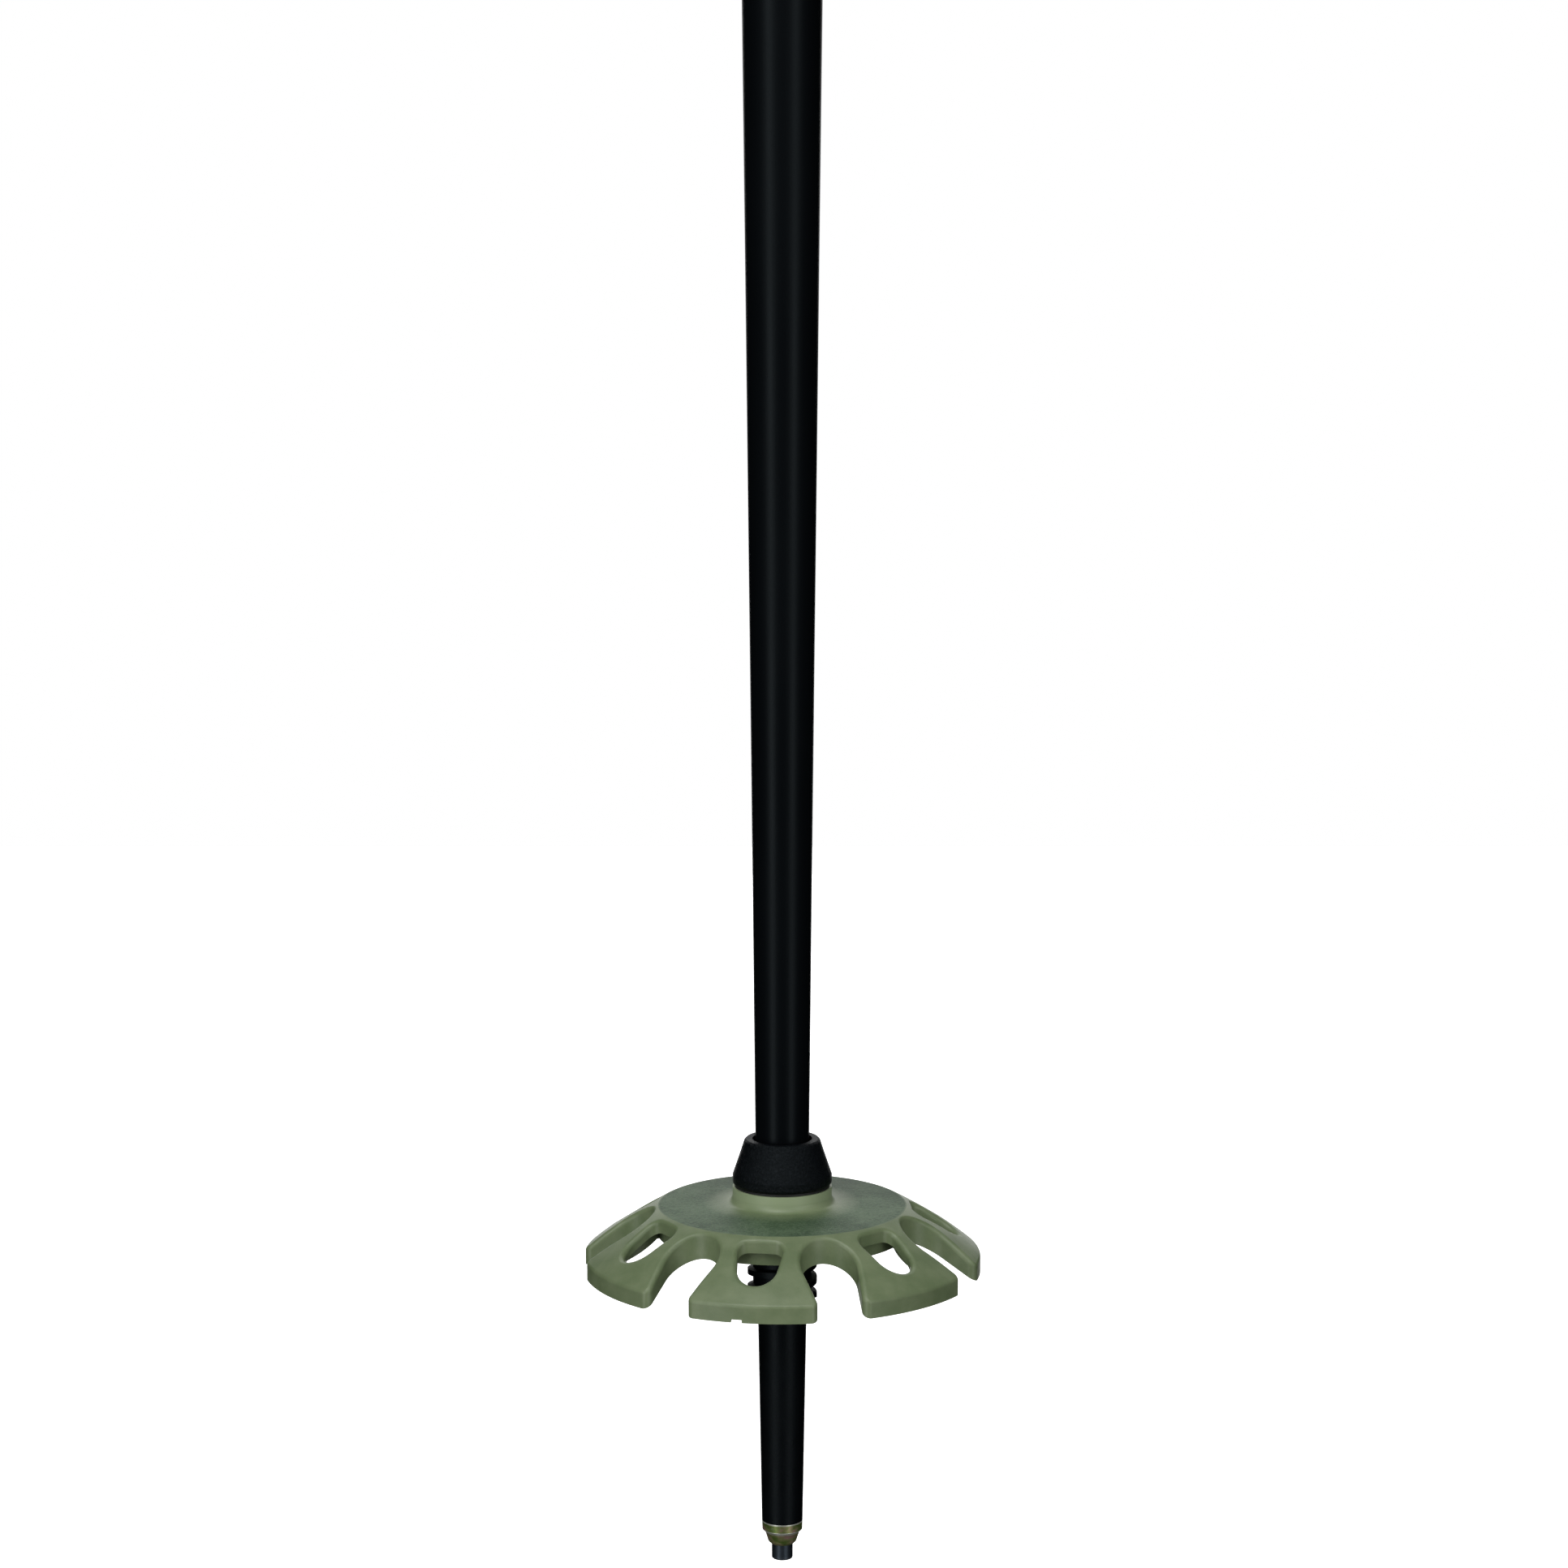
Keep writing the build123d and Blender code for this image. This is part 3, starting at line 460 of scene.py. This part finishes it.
anodised_lever, tree, shader, place = new_finish("anodised_lever")
tumble = noise(tree, place, 900, 4, 0.6)
cloud = noise(tree, place, 90, 3)
paint(tree, shader, cloud, (0.0100, 0.0108, 0.0120), (0.0190, 0.0200, 0.0220))
shader.inputs["Metallic"].default_value = 0.35
roughen(tree, shader, tumble, 0.30, 0.42)
relief(tree, shader, tumble, 0.00003, 0.5)
coat("lock_lever", anodised_lever)


def new_tree(name, inputs):
    tree = bpy.data.node_groups.new(name, "GeometryNodeTree")
    for label, kind in inputs:
        tree.interface.new_socket(label, in_out="INPUT", socket_type="NodeSocket" + kind)
    tree.interface.new_socket("Geometry", in_out="OUTPUT", socket_type="NodeSocketGeometry")
    return tree, tree.nodes.new("NodeGroupInput"), tree.nodes.new("NodeGroupOutput")


def add_step(tree, kind, mode=None, **links):
    """A node of the tree, with its inputs linked or set by name (spaces as underscores)."""
    node = tree.nodes.new(kind)
    if mode:
        node.mode = mode
    for label, value in links.items():
        feed(tree, node.inputs[label.replace("_", " ")], value)
    return node


def vector_step(tree, kind, first, second):
    """A vector sum in the tree; SCALE takes a plain number as its second value."""
    node = tree.nodes.new("ShaderNodeVectorMath")
    node.operation = kind
    feed(tree, node.inputs[0], first)
    feed(tree, node.inputs["Scale" if kind == "SCALE" else 1], second)
    return node.outputs[0]


def finish_tree(tree, last, material, output):
    real = add_step(tree, "GeometryNodeRealizeInstances", Geometry=last)
    painted = add_step(tree, "GeometryNodeSetMaterial", Geometry=real.outputs[0], Material=material)
    tree.links.new(painted.outputs[0], output.inputs[0])


def run_tree(tree, name, values):
    """A plain mesh made by the tree with these values."""
    piece = place_in_scene(name, bpy.data.meshes.new(name))
    modifier = piece.modifiers.new(tree.name, "NODES")
    modifier.node_group = tree
    for item in tree.interface.items_tree:
        if item.in_out == "INPUT":
            modifier[item.identifier] = values[item.name]
    bpy.context.view_layer.update()
    evaluated = piece.evaluated_get(bpy.context.evaluated_depsgraph_get())
    mesh = bpy.data.meshes.new_from_object(evaluated)
    piece.modifiers.clear()
    piece.data = mesh
    mesh.name = name
    for face in mesh.polygons:
        face.use_smooth = True
    return piece


rib_inputs = (
    ("Skin", "Object"),
    ("Ribs", "Int"),
    ("Pitch", "Float"),
    ("Lowest", "Float"),
    ("From angle", "Float"),
    ("Sweep", "Float"),
    ("Rib radius", "Float"),
    ("Sink", "Float"),
    ("Finish", "Material"),
)
# Each rib starts as an arc well outside the piece, is cast inwards onto its skin, sunk a little
# below it and given a round section that tapers at both ends.
cast_radius, cast_steps, rib_sides = 0.06, 48, 14
taper_share, end_size = 0.12, 0.3
raised_ribs, given, result = new_tree("raised_ribs", rib_inputs)
lowest = add_step(raised_ribs, "ShaderNodeCombineXYZ", Z=given.outputs["Lowest"])
spacing = add_step(raised_ribs, "ShaderNodeCombineXYZ", Z=given.outputs["Pitch"])
heights = add_step(
    raised_ribs,
    "GeometryNodeMeshLine",
    Count=given.outputs["Ribs"],
    Start_Location=lowest.outputs[0],
    Offset=spacing.outputs[0],
)
arc = add_step(
    raised_ribs,
    "GeometryNodeCurveArc",
    Resolution=cast_steps,
    Radius=cast_radius,
    Start_Angle=given.outputs["From angle"],
    Sweep_Angle=given.outputs["Sweep"],
)
copies = add_step(
    raised_ribs,
    "GeometryNodeInstanceOnPoints",
    Points=heights.outputs[0],
    Instance=arc.outputs[0],
)
arcs = add_step(raised_ribs, "GeometryNodeRealizeInstances", Geometry=copies.outputs[0])
where = add_step(raised_ribs, "GeometryNodeInputPosition")
inwards = vector_step(raised_ribs, "MULTIPLY", where.outputs[0], (-1, -1, 0))
skin = add_step(raised_ribs, "GeometryNodeObjectInfo", Object=given.outputs["Skin"])
touch = add_step(
    raised_ribs,
    "GeometryNodeRaycast",
    Target_Geometry=skin.outputs["Geometry"],
    Source_Position=where.outputs[0],
    Ray_Direction=inwards,
    Ray_Length=cast_radius,
)
depth = vector_step(raised_ribs, "SCALE", touch.outputs["Hit Normal"], given.outputs["Sink"])
sunk = vector_step(raised_ribs, "SUBTRACT", touch.outputs["Hit Position"], depth)
laid = add_step(raised_ribs, "GeometryNodeSetPosition", Geometry=arcs.outputs[0], Position=sunk)
along_rib = add_step(raised_ribs, "GeometryNodeSplineParameter")
from_end = add_step(raised_ribs, "ShaderNodeMath")
from_end.operation = "PINGPONG"
raised_ribs.links.new(along_rib.outputs["Factor"], from_end.inputs[0])
from_end.inputs[1].default_value = 0.5
taper = add_step(raised_ribs, "ShaderNodeMapRange", Value=from_end.outputs[0])
taper.interpolation_type = "SMOOTHSTEP"
taper_range = (("From Min", 0.0), ("From Max", taper_share), ("To Min", end_size), ("To Max", 1.0))
for label, number in taper_range:
    taper.inputs[label].default_value = number
section = add_step(
    raised_ribs,
    "GeometryNodeCurvePrimitiveCircle",
    Resolution=rib_sides,
    Radius=given.outputs["Rib radius"],
)
bars = add_step(
    raised_ribs,
    "GeometryNodeCurveToMesh",
    Curve=laid.outputs[0],
    Profile_Curve=section.outputs[0],
    Scale=taper.outputs["Result"],
    Fill_Caps=True,
)
finish_tree(raised_ribs, bars.outputs[0], given.outputs["Finish"], result)

lever_low, lever_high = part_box("lock_lever")
thumb_rib_count, thumb_rib_pitch = 5, 0.0042
thumb_rib_radius, thumb_rib_sink = 0.0009, 0.0004
thumb_ribs = run_tree(
    raised_ribs,
    "thumb_ribs",
    {
        "Skin": frame["nodes"]["lock_lever"],
        "Ribs": thumb_rib_count,
        "Pitch": thumb_rib_pitch,
        "Lowest": (lever_low.z + lever_high.z) / 2 - (thumb_rib_count - 1) / 2 * thumb_rib_pitch,
        "From angle": math.radians(-73),
        "Sweep": math.radians(26),
        "Rib radius": thumb_rib_radius,
        "Sink": thumb_rib_sink,
        "Finish": anodised_lever,
    },
)
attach(thumb_ribs, "lever")


# ---------------------------------------------------------------- Grip
# Soft rubber moulded over a hard nylon core. The skin is stippled, and raised ribs run round the
# finger side and the palm side, where the hand pulls hardest.

coat("grip_core", grained_nylon)

grip_rubber, tree, shader, place = new_finish("grip_rubber")
stipple = tree.nodes.new("ShaderNodeTexVoronoi")
stipple.inputs["Scale"].default_value = 1300
tree.links.new(place, stipple.inputs["Vector"])
bloom = noise(tree, place, 45, 4, 0.6)
paint(tree, shader, bloom, (0.0075, 0.0080, 0.0088), (0.0160, 0.0166, 0.0178))
roughen(tree, shader, bloom, 0.58, 0.74)
shader.inputs["Specular IOR Level"].default_value = 0.35
relief(tree, shader, stipple.outputs["Distance"], 0.00018, 0.8)
coat("grip", grip_rubber)

grip_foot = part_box("grip")[0].z
grip_rib_pitch, grip_rib_radius, grip_rib_sink = 0.0076, 0.0026, 0.0016
rib_sets = (
    ("finger_ribs", 10, grip_foot + 0.026, 112, 136),
    ("palm_ribs", 8, grip_foot + 0.034, -52, 104),
)
for name, count, lowest_rib, start, sweep in rib_sets:
    ribs = run_tree(
        raised_ribs,
        name,
        {
            "Skin": frame["nodes"]["grip"],
            "Ribs": count,
            "Pitch": grip_rib_pitch,
            "Lowest": lowest_rib,
            "From angle": math.radians(start),
            "Sweep": math.radians(sweep),
            "Rib radius": grip_rib_radius,
            "Sink": grip_rib_sink,
            "Finish": grip_rubber,
        },
    )
    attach(ribs, "upper_section")


# ---------------------------------------------------------------- Grip cap
# A hard domed cap glued on the head, moulded in black nylon with a finer grain than the lock. The
# palm rests on it going downhill, so the crown is polished a little by use.

cap_nylon, tree, shader, place = new_finish("cap_nylon")
grain = noise(tree, place, 1900, 3, 0.6)
cap_low, cap_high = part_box("grip_cap")
cap_skirt = 0.004
crown = spread(tree, split(tree, place)["Z"], cap_low.z + cap_skirt, cap_high.z, 0, 1)
paint(tree, shader, grain, (0.0060, 0.0066, 0.0074), (0.0125, 0.0132, 0.0142))
tree.links.new(spread(tree, crown, 0, 1, 0.52, 0.34), shader.inputs["Roughness"])
left_grain = sums(tree, "MULTIPLY", grain, spread(tree, crown, 0, 1, 1, 0.3))
relief(tree, shader, left_grain, 0.00012, 0.8)
coat("grip_cap", cap_nylon)


# ---------------------------------------------------------------- Foam extension
# A sleeve of closed-cell foam with turned rings, for holding the pole short on a climb. The cut
# cells make a fine pitted skin. A moulded ring closes its lower end.

foam, tree, shader, place = new_finish("closed_cell_foam")
cells = tree.nodes.new("ShaderNodeTexVoronoi")
cells.inputs["Scale"].default_value = 1500
tree.links.new(place, cells.inputs["Vector"])
# Painted shade: the cell pits are painted darker than the skin; the same pits give the relief.
pit_depth_and_shade = spread(tree, cells.outputs["Distance"], 0.1, 0.6, 0, 1)
mottling = noise(tree, place, 120, 4, 0.65)
skin_colour = tint(tree, mottling, (0.011, 0.0115, 0.012), (0.024, 0.0245, 0.025))
paint(tree, shader, pit_depth_and_shade, (0.005, 0.005, 0.005), skin_colour)
roughen(tree, shader, mottling, 0.80, 0.92)
relief(tree, shader, sums(tree, "ADD", pit_depth_and_shade, mottling), 0.00016, 0.8)
coat("grip_extension", foam)
coat("extension_ring", grained_nylon)


# ---------------------------------------------------------------- Wrist strap webbing
# Woven nylon tape, 25 mm wide. Both ends go into the grip's slot one over the other, where a nylon
# wedge jams them, and the rest hangs as a flat loop that swings from the slot.

coat("strap_wedge", grained_nylon)

web_width, web_thickness, selvedge_power = 0.025, 0.0018, 14
loop_low, loop_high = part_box("strap_webbing")
wedge_to_slot_top, lower_drop, upper_drop = 0.0040, 0.00305, 0.00098
near_run_inset = 0.0034
slot_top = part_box("strap_wedge")[1].z + wedge_to_slot_top
exit_x = loop_low.x
near_x = exit_x + near_run_inset
far_x = loop_high.x - web_thickness / 2
bottom_z = loop_low.z + web_thickness / 2
lower_layer, upper_layer = slot_top - lower_drop, slot_top - upper_drop
route = (
    (0.0140, lower_layer),
    (0.0200, lower_layer),
    (exit_x - 0.0010, lower_layer - 0.0002),
    (exit_x + 0.0012, lower_layer - 0.0045),
    (near_x - 0.0008, lower_layer - 0.0180),
    (near_x + 0.0001, lower_layer - 0.0400),
    (near_x, lower_layer - 0.0850),
    (near_x + 0.0004, bottom_z + 0.0320),
    (near_x + 0.0001, bottom_z + 0.0150),
    (near_x + 0.0016, bottom_z + 0.0030),
    ((near_x + far_x) / 2, bottom_z - 0.0022),
    (far_x - 0.0016, bottom_z + 0.0030),
    (far_x, bottom_z + 0.0150),
    (far_x, bottom_z + 0.0320),
    (far_x, bottom_z + 0.1100),
    (far_x - 0.0006, bottom_z + 0.1290),
    (far_x - 0.0055, bottom_z + 0.1450),
    (far_x - 0.0200, bottom_z + 0.1720),
    (exit_x + 0.0040, upper_layer - 0.0050),
    (exit_x + 0.0002, upper_layer + 0.0002),
    (0.0200, upper_layer),
    (0.0140, upper_layer),
)


def smooth_line(points, per_point):
    """Evenly spaced places along a smooth curve drawn by the points, in the XZ plane."""
    curve = bpy.data.curves.new("route", "CURVE")
    curve.dimensions = "3D"
    curve.resolution_u = per_point
    spline = curve.splines.new("NURBS")
    spline.points.add(len(points) - 1)
    for point, (x, z) in zip(spline.points, points):
        point.co = (x, 0, z, 1)
    spline.order_u = 3
    spline.use_endpoint_u = True
    holder = place_in_scene("route", curve)
    bpy.context.view_layer.update()
    line = bpy.data.meshes.new_from_object(holder.evaluated_get(bpy.context.evaluated_depsgraph_get()))
    places = [v.co.copy() for v in line.vertices]
    bpy.data.objects.remove(holder)
    return places


def shell_piece(name, shell):
    """A smooth piece from a closed shell, with its faces turned outwards."""
    bmesh.ops.recalc_face_normals(shell, faces=shell.faces)
    for face in shell.faces:
        face.smooth = True
    mesh = bpy.data.meshes.new(name)
    shell.to_mesh(mesh)
    shell.free()
    return place_in_scene(name, mesh)


def webbing_mesh(name, places, width, thickness, across):
    """A tape swept along the places, with rounded selvedges and a UV map in metres."""
    shell = bmesh.new()
    uv_layer = shell.loops.layers.uv.new("UVMap")
    half = width / 2
    profile = []
    for side in (1, -1):
        for number in range(across):
            share = side * (1 - 2 * number / across)
            edge = math.sqrt(max(0.0, 1 - abs(share) ** selvedge_power))
            profile.append((share * half, side * edge * thickness / 2))
    length, rings, distances = 0.0, [], []
    for index, place_now in enumerate(places):
        before = places[max(index - 1, 0)]
        after = places[min(index + 1, len(places) - 1)]
        along = (after - before).normalized()
        outward = along.cross(Vector((0, 1, 0)))
        length += (place_now - before).length if index else 0.0
        rings.append([shell.verts.new(place_now + Vector((0, y, 0)) + outward * n) for y, n in profile])
        distances.append(length)
    size = len(profile)
    for index in range(len(rings) - 1):
        for number in range(size):
            turn = (number + 1) % size
            spots = ((index, number), (index, turn), (index + 1, turn), (index + 1, number))
            face = shell.faces.new([rings[row][column] for row, column in spots])
            for loop, (row, column) in zip(face.loops, spots):
                loop[uv_layer].uv = (distances[row], profile[column][0])
    shell.faces.new(rings[0])
    shell.faces.new(list(reversed(rings[-1])))
    return shell_piece(name, shell)


woven_nylon, tree, shader, place = new_finish("woven_nylon")
cloth_map = tree.nodes.new("ShaderNodeUVMap")
cloth_map.uv_map = "UVMap"
threads = split(tree, cloth_map.outputs["UV"])
weft_pitch, warp_pitch = 0.0011, 0.0015
selvedge_width, selvedge_blend = 0.0020, 0.0005


def wave(value, pitch):
    """Sine of a distance, with one wave in each pitch."""
    return sums(tree, "SINE", sums(tree, "MULTIPLY", value, 2 * math.pi / pitch))


crossing = sums(tree, "MULTIPLY", wave(threads["X"], weft_pitch), wave(threads["Y"], warp_pitch))
twill = wave(sums(tree, "ADD", threads["X"], threads["Y"]), 2 * weft_pitch)
weave = sums(tree, "ADD", crossing, sums(tree, "MULTIPLY", twill, 0.6))
fuzz = noise(tree, place, 1800, 3, 0.6)
selvedge_start = web_width / 2 - selvedge_width
from_centre = sums(tree, "ABSOLUTE", threads["Y"])
selvedge = spread(tree, from_centre, selvedge_start, selvedge_start + selvedge_blend, 0, 1)
# Painted shade: the threads are painted darker where the weave sinks and lighter on its raised crowns.
painted_weave_shade = spread(tree, weave, -1.2, 1.2, 0, 1)
thread_colour_with_painted_shade = tint(tree, painted_weave_shade, (0.0060, 0.0064, 0.0070), (0.0230, 0.0240, 0.0255))
paint(tree, shader, selvedge, thread_colour_with_painted_shade, (0.10, 0.125, 0.07))
roughen(tree, shader, fuzz, 0.70, 0.85)
shader.inputs["Sheen Weight"].default_value = 0.25
woven_skin = sums(tree, "ADD", weave, sums(tree, "MULTIPLY", fuzz, 0.5))
relief(tree, shader, woven_skin, 0.00016, 0.9)

loop_line = smooth_line(route, per_point=14)
webbing = webbing_mesh("wrist_webbing", loop_line, web_width, web_thickness, across=20)
webbing.data.materials.append(woven_nylon)
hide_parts("strap_webbing")
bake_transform(webbing)


# ---------------------------------------------------------------- Strap padding
# A soft pad sewn inside the loop's outer run: brushed knit over thin foam, bound flat round its
# edge by two rows of stitches that go through the webbing.

brushed_knit, tree, shader, place = new_finish("brushed_knit")
loops = tree.nodes.new("ShaderNodeTexVoronoi")
loops.inputs["Scale"].default_value = 950
tree.links.new(stretched(tree, place, (1, 1.4, 0.8)), loops.inputs["Vector"])
nap = noise(tree, place, 2600, 3, 0.65)
shade = noise(tree, place, 60, 3, 0.6)
knit_colour = tint(tree, shade, (0.060, 0.072, 0.045), (0.092, 0.108, 0.068))
paint(tree, shader, loops.outputs["Distance"], knit_colour, (0.040, 0.048, 0.030))
roughen(tree, shader, nap, 0.82, 0.95)
shader.inputs["Sheen Weight"].default_value = 0.4
relief(tree, shader, sums(tree, "ADD", loops.outputs["Distance"], nap), 0.00020, 0.8)

pad_low, pad_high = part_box("strap_padding")
pad_centre = (pad_low + pad_high) / 2
pad_half_width = (pad_high.y - pad_low.y) / 2
pad_half_length = (pad_high.z - pad_low.z) / 2
back_gap = 0.00005
back_x = pad_high.x - back_gap
binding_thickness, crown_thickness = 0.0012, 0.0034
corner_power, edge_power = 5.0, 26
binding_share, crown_rise, edge_share = 0.80, 0.28, 0.15


def rounded_size(across, along):
    """Size of the rounded rectangle through a point, where 1 is the pad's own outline."""
    return (abs(across) ** corner_power + abs(along) ** corner_power) ** (1 / corner_power)


def pad_height(across, along):
    """Thickness of the pad at a share of its half width and half length."""
    rim = rounded_size(across, along)
    inside = max(0.0, min(1.0, (binding_share - rim) / crown_rise))
    crown = inside * inside * (3 - 2 * inside)
    edge = math.sqrt(max(0.0, 1 - min(1.0, rim) ** edge_power))
    full = binding_thickness + (crown_thickness - binding_thickness) * crown
    return full * (edge_share + (1 - edge_share) * edge)


def padding_mesh(name, rings, spokes):
    """A closed pad: rings of points from the middle to a rounded rectangle, front and flat back."""
    shell = bmesh.new()
    rows = []
    for ring in range(1, rings + 1):
        front, back = [], []
        for spoke in range(spokes):
            angle = 2 * math.pi * spoke / spokes
            c, s = math.cos(angle), math.sin(angle)
            reach = ring / rings / rounded_size(c, s)
            across, along = c * reach, s * reach
            y = pad_centre.y + across * pad_half_width
            z = pad_centre.z + along * pad_half_length
            front.append(shell.verts.new((back_x - pad_height(across, along), y, z)))
            back.append(shell.verts.new((back_x, y, z)))
        rows.append((front, back))
    crown = shell.verts.new((back_x - pad_height(0, 0), pad_centre.y, pad_centre.z))
    base = shell.verts.new((back_x, pad_centre.y, pad_centre.z))
    for spoke in range(spokes):
        turn = (spoke + 1) % spokes
        shell.faces.new((crown, rows[0][0][spoke], rows[0][0][turn]))
        shell.faces.new((base, rows[0][1][turn], rows[0][1][spoke]))
        for (front, back), (front_out, back_out) in zip(rows, rows[1:]):
            shell.faces.new((front[spoke], front_out[spoke], front_out[turn], front[turn]))
            shell.faces.new((back[turn], back_out[turn], back_out[spoke], back[spoke]))
        front, back = rows[-1]
        shell.faces.new((front[spoke], back[spoke], back[turn], front[turn]))
    return shell_piece(name, shell)


padding = padding_mesh("wrist_padding", rings=26, spokes=120)
padding.data.materials.append(brushed_knit)
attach(padding, "strap")
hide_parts("strap_padding")

stitch_inputs = (
    ("Seam", "Object"),
    ("Pitch", "Float"),
    ("Stitch length", "Float"),
    ("Thread radius", "Float"),
    ("Finish", "Material"),
)
lock_stitch, given, result = new_tree("lock_stitch", stitch_inputs)
seam = add_step(lock_stitch, "GeometryNodeObjectInfo", Object=given.outputs["Seam"])
line = add_step(lock_stitch, "GeometryNodeMeshToCurve", Mesh=seam.outputs["Geometry"])
spots = add_step(
    lock_stitch,
    "GeometryNodeResampleCurve",
    "LENGTH",
    Curve=line.outputs[0],
    Length=given.outputs["Pitch"],
)
heading = add_step(lock_stitch, "GeometryNodeInputTangent")
turned = add_step(lock_stitch, "FunctionNodeAlignRotationToVector", Vector=heading.outputs[0])
turned.axis = "X"
bead = add_step(lock_stitch, "GeometryNodeMeshUVSphere", Segments=8, Rings=5, Radius=1.0)
half_length = add_step(lock_stitch, "ShaderNodeMath")
half_length.operation = "MULTIPLY"
lock_stitch.links.new(given.outputs["Stitch length"], half_length.inputs[0])
half_length.inputs[1].default_value = 0.5
size = add_step(
    lock_stitch,
    "ShaderNodeCombineXYZ",
    X=half_length.outputs[0],
    Y=given.outputs["Thread radius"],
    Z=given.outputs["Thread radius"],
)
sewn = add_step(
    lock_stitch,
    "GeometryNodeInstanceOnPoints",
    Points=spots.outputs[0],
    Instance=bead.outputs[0],
    Rotation=turned.outputs[0],
    Scale=size.outputs[0],
)
finish_tree(lock_stitch, sewn.outputs[0], given.outputs["Finish"], result)

sewing_thread, tree, shader, place = new_finish("sewing_thread")
twist = noise(tree, stretched(tree, place, (1, 1, 0.4)), 5200, 2)
paint(tree, shader, twist, (0.11, 0.135, 0.075), (0.19, 0.225, 0.135))
roughen(tree, shader, twist, 0.55, 0.75)
relief(tree, shader, twist, 0.00006, 0.8)


def seam_round(x, half_y, half_z):
    """A closed seam line: a rounded rectangle in the plane at x, round the pad's centre."""
    mesh = bpy.data.meshes.new("seam")
    count, points = 96, []
    for number in range(count):
        angle = 2 * math.pi * number / count
        c, s = math.cos(angle), math.sin(angle)
        reach = 1 / rounded_size(c, s)
        points.append((x, pad_centre.y + c * reach * half_y, pad_centre.z + s * reach * half_z))
    mesh.from_pydata(points, [(n, (n + 1) % count) for n in range(count)], [])
    return place_in_scene("seam", mesh)


stitch_pitch, stitch_length, thread_radius = 0.0030, 0.0023, 0.00028
binding_seam = (0.90 * pad_half_width, 0.97 * pad_half_length)
webbing_seam = (0.42 * web_width, 0.90 * pad_half_length)
seam_places = (
    ("binding_stitches", back_x - binding_thickness, *binding_seam),
    ("webbing_stitches", loop_high.x, *webbing_seam),
)
for name, x, half_y, half_z in seam_places:
    seam_object = seam_round(x, half_y, half_z)
    values = {
        "Seam": seam_object,
        "Pitch": stitch_pitch,
        "Stitch length": stitch_length,
        "Thread radius": thread_radius,
        "Finish": sewing_thread,
    }
    stitches = run_tree(lock_stitch, name, values)
    bpy.data.objects.remove(seam_object)
    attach(stitches, "strap")
